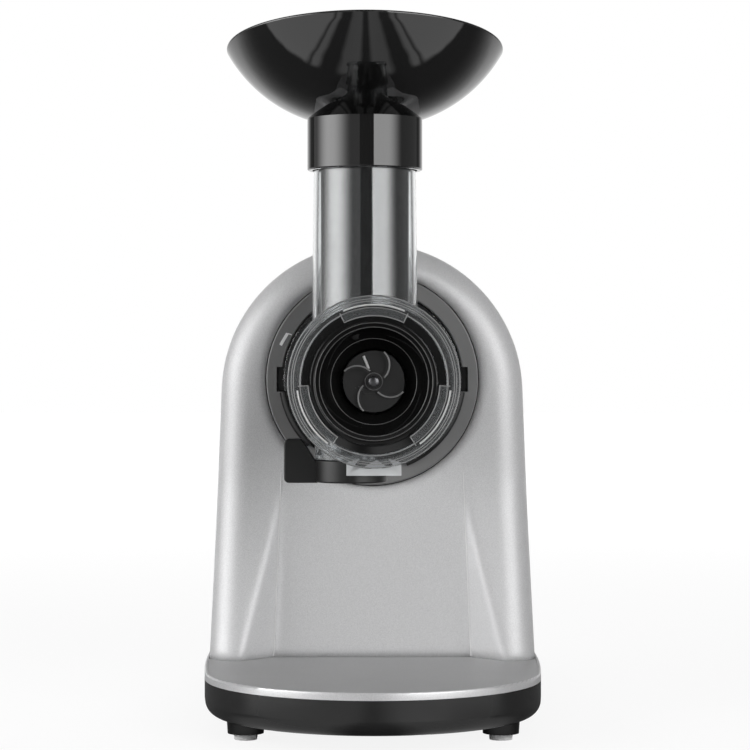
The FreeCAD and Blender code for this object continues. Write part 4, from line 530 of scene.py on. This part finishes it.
# pale beads on the step edges of the end cap: partly rubbed wear, partly painted highlight
cap = {"edges": ((0.0279, 0.1585), (0.0259, 0.1570), (0.0206, 0.1475)), "bead": (0.00026, 0.00024),
       "sides": 120}


def makeCapLines():
    rings = [ring(radius, depth, cap["sides"]) for radius, depth in cap["edges"]]
    addBeads("capLines", rings, cap["bead"], "cap_set", "black_gloss", edgeWearAndHighlight, closed=True)


makeCapLines()

# pale beads on the vanes of the auger's end: partly rubbed wear, partly painted highlight; a
# brighter bar across the nose is painted highlight
vanes = {"count": 4, "circle": 0.008, "offset": 0.0086, "aim": 8, "from": 37, "to": 128,
         "depth": 0.1480, "bead": (0.00042, 0.0003),
         "barAngle": 112, "barFrom": 0.0066, "barTo": 0.0131, "barDepth": 0.1463,
         "barBead": (0.00065, 0.0004),
         "hubRadius": 0.0041, "hubDepth": 0.1486, "hubSides": 60, "hubBead": (0.00028, 0.00026)}


def makeVaneEdges():
    aim, bar = math.radians(vanes["aim"]), math.radians(vanes["barAngle"])
    centre = (vanes["circle"] * math.cos(aim), vanes["circle"] * math.sin(aim))
    back = vanes["aim"] + 180
    edge = arc(vanes["offset"], back + vanes["from"], back + vanes["to"], vanes["depth"], centre)
    addBeads("vaneEdges", [edge], vanes["bead"], "drive", "black_gloss", vaneWearAndHighlight, vanes["count"])
    # a brighter bar across the nose: painted highlight of a step's edge
    along = [(r * math.cos(bar), r * math.sin(bar), vanes["barDepth"])
             for r in (vanes["barFrom"], vanes["barTo"])]
    addBeads("noseBar", [along], vanes["barBead"], "drive", "black_gloss", barPaintedHighlight)
    # pale bead round the hub: partly rubbed wear, partly painted highlight
    hub = ring(vanes["hubRadius"], vanes["hubDepth"], vanes["hubSides"])
    addBeads("hubRings", [hub], vanes["hubBead"], "drive", "black_gloss", edgeWearAndHighlight, closed=True)


makeVaneEdges()

# rounded end of the pin in the auger's hub
pin = {"radius": 0.0027, "face": 0.1513, "high": 0.0011, "rings": 10, "sides": 40, "crease": 40}


def turnedRings(shape, levels, sides):
    # closed underneath, open at the top; gives back the rings of corners
    turns = [math.tau * n / sides for n in range(sides)]
    rings = []
    for radius, level in levels:
        spots = [(radius * math.cos(a), radius * math.sin(a), level) for a in turns]
        rings.append([shape.verts.new(spot) for spot in spots])
    shape.faces.new(reversed(rings[0]))
    for low, high in zip(rings, rings[1:]):
        for n in range(sides):
            shape.faces.new((low[n], low[(n + 1) % sides], high[(n + 1) % sides], high[n]))
    return rings


def meshOf(shape, name):
    mesh = bpy.data.meshes.new(name)
    shape.to_mesh(mesh)
    shape.free()
    return mesh


def makePinDome():
    shape = bmesh.new()
    radius, face, high = pin["radius"], pin["face"], pin["high"]
    tilts = [math.radians(90 * n / pin["rings"]) for n in range(pin["rings"])]
    levels = [(radius * math.cos(a), face + high * math.sin(a)) for a in tilts]
    last = turnedRings(shape, levels, pin["sides"])[-1]
    tip = shape.verts.new((0, 0, face + high))
    for corner, following in zip(last, last[1:] + last[:1]):
        shape.faces.new((corner, following, tip))
    mesh = meshOf(shape, "pinDome")
    smoothByAngle(mesh, pin["crease"])
    mesh.materials.append(ownFinish["auger_pin"])
    mesh.transform(facingFront)
    placedObject("pinDome", mesh, "drive", "steel")


makePinDome()

# near-white beads where the recess turns its corners: painted highlights along the seams
seams = {"foot": (0.0518, 0.0305), "top": (0.0478, 0.1270), "face": 0.0262, "steps": 12,
         "bead": (0.00022, 0.00016)}


def makeSeams():
    runs, steps = [], seams["steps"]
    for way in (-1, 1):
        foot, top = [Vector((way * x, z - drumAxis, seams["face"]))
                     for x, z in (seams["foot"], seams["top"])]
        runs.append([foot.lerp(top, n / steps) for n in range(steps + 1)])
    addBeads("recessSeams", runs, seams["bead"], "base", "silver_paint", seamPaintedHighlight)


makeSeams()

# lips of the bezel that hold the drum's collar
lips = {"spans": ((188, 226), (-8, -68)),
        "bezelLips": {"radius": 0.0464, "depth": 0.0310, "bead": (0.0019, 0.00055)},
        "lipRoots": {"radius": 0.0483, "depth": 0.0296, "bead": (0.00075, 0.0015)},
        "lipEdges": {"radius": 0.0446, "depth": 0.0312, "bead": (0.00022, 0.00022)}}


def makeLips():
    satin = finishes["black_satin"]
    # the lip edges take the pale bead: partly rubbed wear, partly painted highlight
    for name, material in (("bezelLips", satin), ("lipRoots", satin), ("lipEdges", edgeWearAndHighlight)):
        lip = lips[name]
        spans = [arc(lip["radius"], start, end, lip["depth"]) for start, end in lips["spans"]]
        addBeads(name, spans, lip["bead"], "base", "black_satin", material)


makeLips()

# pale mark on the bezel that shows where the drum locks
tick = {"place": (-0.0463, 0.0210), "aim": 59.5, "length": 0.0072, "width": 0.0016, "tail": 0.0024,
        "tailWidth": 0.0005, "tailTurn": 78, "face": 0.0285, "rise": 0.0002}


def makeTick():
    aim = math.radians(tick["aim"])
    along = Vector((math.cos(aim), math.sin(aim), 0))
    middle = Vector((*tick["place"], tick["face"]))
    top = middle + along * tick["length"] / 2
    bend = aim - math.radians(tick["tailTurn"])
    tail = Vector((math.cos(bend), math.sin(bend), 0))
    shape = bmesh.new()
    for start, way, length, width in (
            (middle - along * tick["length"] / 2, along, tick["length"], tick["width"]),
            (top, tail, tick["tail"], tick["tailWidth"])):
        side = Vector((-way.y, way.x, 0)) * width / 2
        rise = Vector((0, 0, tick["rise"]))
        end = start + way * length
        corners = [start - side, end - side, end + side, start + side]
        low = [shape.verts.new(c - rise) for c in corners]
        high = [shape.verts.new(c + rise) for c in corners]
        shape.faces.new(reversed(low))
        shape.faces.new(high)
        for n in range(4):
            shape.faces.new((low[n], low[(n + 1) % 4], high[(n + 1) % 4], high[n]))
    mesh = meshOf(shape, "lockTick")
    mesh.materials.append(markWhite)
    mesh.transform(facingFront)
    placedObject("lockTick", mesh, "base", "grey_bezel")


makeTick()

# off and on marks on the two faces of the rocker
marks = {"off": {"place": (0, 0.1629, 0.05215), "normal": (0, 0.978, 0.21), "radius": 0.0015},
         "on": {"place": (0, 0.16405, 0.0603), "normal": (0, 0.882, -0.471), "half": 0.0016},
         "bead": (0.00026, 0.00012), "sides": 36, "steps": 4}


def onFace(face):
    # local X to the right seen from behind, Y up the face, Z out of it
    out = Vector(face["normal"]).normalized()
    across = Vector((-1, 0, 0))
    turn = Matrix((across, out.cross(across), out)).transposed().to_4x4()
    return Matrix.Translation(face["place"]) @ turn


def makeMarks():
    off, on, steps = marks["off"], marks["on"], marks["steps"]
    circle = ring(off["radius"], 0, marks["sides"])
    addBeads("offMark", [circle], marks["bead"], "rocker", "black_satin", markWhite, closed=True,
             place=onFace(off))
    line = [(0, on["half"] * n / steps, 0) for n in range(-steps, steps + 1)]
    addBeads("onMark", [line], marks["bead"], "rocker", "black_satin", markWhite, place=onFace(on))


makeMarks()

# cross-recessed heads on the rear cover; the profile gives shares of the radius and of the dome
# that is still to rise
screws = {"radius": 0.0038, "high": 0.0022, "dome": 0.0006, "sides": 28, "slotHalf": 0.00055,
          "slotReach": 0.0021, "slotDepth": 0.0012, "slotTaper": 0.8, "seed": 5,
          "profile": ((1, 1), (0.93, 0.4), (0.8, 0)),
          "cover": ((0.0770, 0.0517), (-0.0770, 0.0517), (0.05515, 0.21428), (-0.05515, 0.21428)),
          "coverFace": 0.1600}


def screwHead():
    shape = bmesh.new()
    radius, high, taper = screws["radius"], screws["high"], screws["slotTaper"]
    levels = [(radius, 0)]
    levels += [(radius * share, high - screws["dome"] * rest) for share, rest in screws["profile"]]
    crown = turnedRings(shape, levels, screws["sides"])[-1]
    a, b = screws["slotHalf"], screws["slotReach"]
    cross = [(b, -a), (b, a), (a, a), (a, b), (-a, b), (-a, a),
             (-b, a), (-b, -a), (-a, -a), (-a, -b), (a, -b), (a, -a)]
    lip = [shape.verts.new((x, y, high)) for x, y in cross]
    floor = [shape.verts.new((x * taper, y * taper, high - screws["slotDepth"])) for x, y in cross]
    for n in range(len(cross)):
        shape.faces.new((lip[n], lip[n - 1], floor[n - 1], floor[n]))
    shape.faces.new(floor)
    edges = [shape.edges.get((line[n - 1], line[n]))
             for line in (lip, crown) for n in range(len(line))]
    bmesh.ops.triangle_fill(shape, use_beauty=True, edges=edges, normal=(0, 0, 1))
    bmesh.ops.recalc_face_normals(shape, faces=shape.faces)
    head = bpy.data.objects.new("screwHead", meshOf(shape, "screwHead"))
    bpy.context.scene.collection.objects.link(head)
    return head


def makeScrews():
    head = screwHead()
    settings = {"Head": head, "Seed": screws["seed"], "Material": finishes["screw_steel"]}
    points = bpy.data.meshes.new("coverScrews")
    points.from_pydata([(x, -z, 0) for x, z in screws["cover"]], [], [])
    facingBack = Matrix.Rotation(math.radians(-90), 4, "X")
    onCover = Matrix.Translation((0, screws["coverFace"], 0)) @ facingBack
    mesh = grownMesh("coverScrews", points, headTree, settings, onCover)
    placedObject("coverScrews", mesh, "base", "screw_steel", "cover_screws")
    bpy.data.objects.remove(head)


makeScrews()
print("pieces made")


# studio

# each reach is where a fade starts and ends, in metres on the floor and by direction in the room
studio = {"floorSize": 14.0, "floorTone": 0.12, "floorRoughness": 0.9, "floorGloss": 0.1,
          "near": 0.88, "far": 1.0, "whiteReach": (0.3, 2.2),
          "floorFront": 0.02, "floorBack": 0.9, "mirrorReach": (0.05, 0.9),
          "frontTone": 0.1, "fill": 0.5, "fillReach": (-0.35, 0.55),
          "backTone": 1.0, "backReach": (0.7, 0.95), "cardReach": (-0.15, -0.11),
          "stripes": ((0.012, 0), (0.03, 0.5), (0.09, 0.45), (0.115, 0), (0.175, 0), (0.2, 0.7),
                      (0.22, 0.75), (0.235, 0.1), (0.26, 0.95))}


def rangeOf(tree, source, fromMin, fromMax, toMin, toMax):
    node = addNode(tree, "MapRange")
    node.interpolation_type = "SMOOTHSTEP"
    limits = {"From Min": fromMin, "From Max": fromMax, "To Min": toMin, "To Max": toMax}
    for label, setting in limits.items():
        node.inputs[label].default_value = setting
    link(tree, source, node.inputs["Value"])
    return node.outputs["Result"]


def combined(tree, operation, first, second):
    node = tree.nodes.new("ShaderNodeMath")
    node.operation = operation
    link(tree, first, node.inputs[0])
    link(tree, second, node.inputs[1])
    return node.outputs["Value"]


def mirroredOrThrough(tree, path):
    # one for rays that come off a gloss or through clear plastic
    glossy, passed = path.outputs["Is Glossy Ray"], path.outputs["Is Transmission Ray"]
    return combined(tree, "MAXIMUM", glossy, passed)


def makeFloor():
    mesh = bpy.data.meshes.new("floor")
    half = studio["floorSize"] / 2
    corners = [(-half, -half, 0), (half, -half, 0), (half, half, 0), (-half, half, 0)]
    mesh.from_pydata(corners, [], [(0, 1, 2, 3)])
    floor = bpy.data.objects.new("floor", mesh)
    bpy.context.scene.collection.objects.link(floor)
    material, tree, shader, coordinates = startMaterial(
        "paleFloor", Roughness=studio["floorRoughness"], Base_Color=grey(studio["floorTone"]),
        Specular_IOR_Level=studio["floorGloss"], Emission_Color=(1, 1, 1, 1))
    reach = addNode(tree, "VectorMath")
    reach.operation = "LENGTH"
    link(tree, coordinates, reach.inputs[0])
    split = addNode(tree, "SeparateXYZ")
    link(tree, coordinates, split.inputs["Vector"])
    path = addNode(tree, "LightPath")
    white = rangeOf(tree, reach.outputs["Value"], *studio["whiteReach"], studio["near"],
                    studio["far"])
    mirrored = rangeOf(tree, split.outputs["Y"], *studio["mirrorReach"], studio["floorFront"],
                       studio["floorBack"])
    side = addNode(tree, "Math")
    side.operation = "ABSOLUTE"
    link(tree, split.outputs["X"], side.inputs[0])
    stripes = addNode(tree, "ValToRGB")
    for n, (place, tone) in enumerate(studio["stripes"]):
        mark = stripes.color_ramp.elements[n] if n < 2 else stripes.color_ramp.elements.new(place)
        mark.position, mark.color = place, grey(tone)
    link(tree, side.outputs["Value"], stripes.inputs["Fac"])
    inFront = rangeOf(tree, split.outputs["Y"], *studio["cardReach"], 1, 0)
    cards = combined(tree, "MULTIPLY", stripes.outputs["Color"], inFront)
    cards = combined(tree, "MULTIPLY", cards, path.outputs["Is Glossy Ray"])
    mirrored = combined(tree, "ADD", mirrored, cards)
    glow = combined(tree, "ADD", combined(tree, "MULTIPLY", path.outputs["Is Camera Ray"], white),
                    combined(tree, "MULTIPLY", mirroredOrThrough(tree, path), mirrored))
    link(tree, glow, shader.inputs["Emission Strength"])
    mesh.materials.append(material)


def makeWorld():
    # dark towards the camera, white behind the object
    world = bpy.data.worlds.new("studioRoom")
    world.use_nodes = True
    bpy.context.scene.world = world
    tree = world.node_tree
    background = tree.nodes["Background"]
    background.inputs["Color"].default_value = (1, 1, 1, 1)
    direction = addNode(tree, "TexCoord")
    split = addNode(tree, "SeparateXYZ")
    link(tree, direction.outputs["Generated"], split.inputs["Vector"])
    path = addNode(tree, "LightPath")
    front, depth = studio["frontTone"], split.outputs["Y"]
    lit = rangeOf(tree, depth, *studio["fillReach"], front, studio["fill"])
    mirrored = rangeOf(tree, depth, *studio["backReach"], front, studio["backTone"])
    shown = tree.nodes.new("ShaderNodeMix")
    link(tree, mirroredOrThrough(tree, path), shown.inputs["Factor"])
    link(tree, lit, shown.inputs["A"])
    link(tree, mirrored, shown.inputs["B"])
    strength = combined(tree, "MAXIMUM", shown.outputs["Result"], path.outputs["Is Camera Ray"])
    link(tree, strength, background.inputs["Strength"])


# curved softboxes; angles turn from the camera's side to the right
softboxes = {
    "leftPanel": {"inner": -10, "outer": -120, "low": 0.02, "high": 1.5,
                  "bright": 4.6, "edge": 0.09, "rise": (-26, -66), "fall": (-74, -113)},
    "rightPanel": {"inner": 17, "outer": 125, "low": 0.02, "high": 1.5,
                   "bright": 4.1, "edge": 0.06, "rise": (15, 17), "fall": (44, 78)},
}
topLamp = {"place": (0, -0.2, 2.2), "wide": 1.6, "deep": 1.2, "radiance": 0.3}


def makePanel(name, panel, radius=2.2, steps=60):
    points, turns = [], []
    for n in range(steps + 1):
        turn = panel["inner"] + (panel["outer"] - panel["inner"]) * n / steps
        angle = math.radians(turn)
        for level in (panel["low"], panel["high"]):
            points.append((radius * math.sin(angle), -radius * math.cos(angle), level))
            turns.append(turn)
    faces = [(n, n + 1, n + 3, n + 2) for n in range(0, 2 * steps, 2)]
    mesh = bpy.data.meshes.new(name)
    mesh.from_pydata(points, [], faces)
    mesh.attributes.new("turn", "FLOAT", "POINT").data.foreach_set("value", turns)
    material = bpy.data.materials.new(name)
    material.use_nodes = True
    tree = material.node_tree
    tree.nodes.remove(tree.nodes["Principled BSDF"])
    glow = addNode(tree, "Emission")
    along = addNode(tree, "Attribute")
    along.attribute_name = "turn"
    bright, edge = panel["bright"], panel["edge"]
    rise = rangeOf(tree, along.outputs["Fac"], *panel["rise"], edge, 1)
    fall = rangeOf(tree, along.outputs["Fac"], *panel["fall"], bright, bright * edge)
    link(tree, combined(tree, "MULTIPLY", rise, fall), glow.inputs["Strength"])
    link(tree, glow.outputs["Emission"], tree.nodes["Material Output"].inputs["Surface"])
    mesh.materials.append(material)
    holder = bpy.data.objects.new(name, mesh)
    holder.visible_camera = False
    bpy.context.scene.collection.objects.link(holder)


def makeLights():
    for name, panel in softboxes.items():
        makePanel(name, panel)
    lamp = bpy.data.lights.new("topLamp", "AREA")
    lamp.shape = "RECTANGLE"
    lamp.size, lamp.size_y = topLamp["wide"], topLamp["deep"]
    lamp.energy = topLamp["radiance"] * math.pi * topLamp["wide"] * topLamp["deep"]
    holder = bpy.data.objects.new("topLamp", lamp)
    holder.location = topLamp["place"]
    bpy.context.scene.collection.objects.link(holder)


view = {"lens": 120.0, "sensor": 36.0, "place": (-0.008, -1.34, 0.1875),
        "shift": (0.024, -0.024), "far": 50}


def makeCamera():
    lens = bpy.data.cameras.new("photoView")
    lens.lens, lens.sensor_width = view["lens"], view["sensor"]
    lens.shift_x, lens.shift_y = view["shift"]
    lens.clip_end = view["far"]
    camera = bpy.data.objects.new("photoView", lens)
    camera.location = view["place"]
    camera.rotation_euler = (math.radians(90), 0, 0)
    bpy.context.scene.collection.objects.link(camera)
    bpy.context.scene.camera = camera


makeFloor()
makeWorld()
makeLights()
makeCamera()
bpy.context.scene.view_settings.view_transform = "Standard"
print("studio and camera placed")
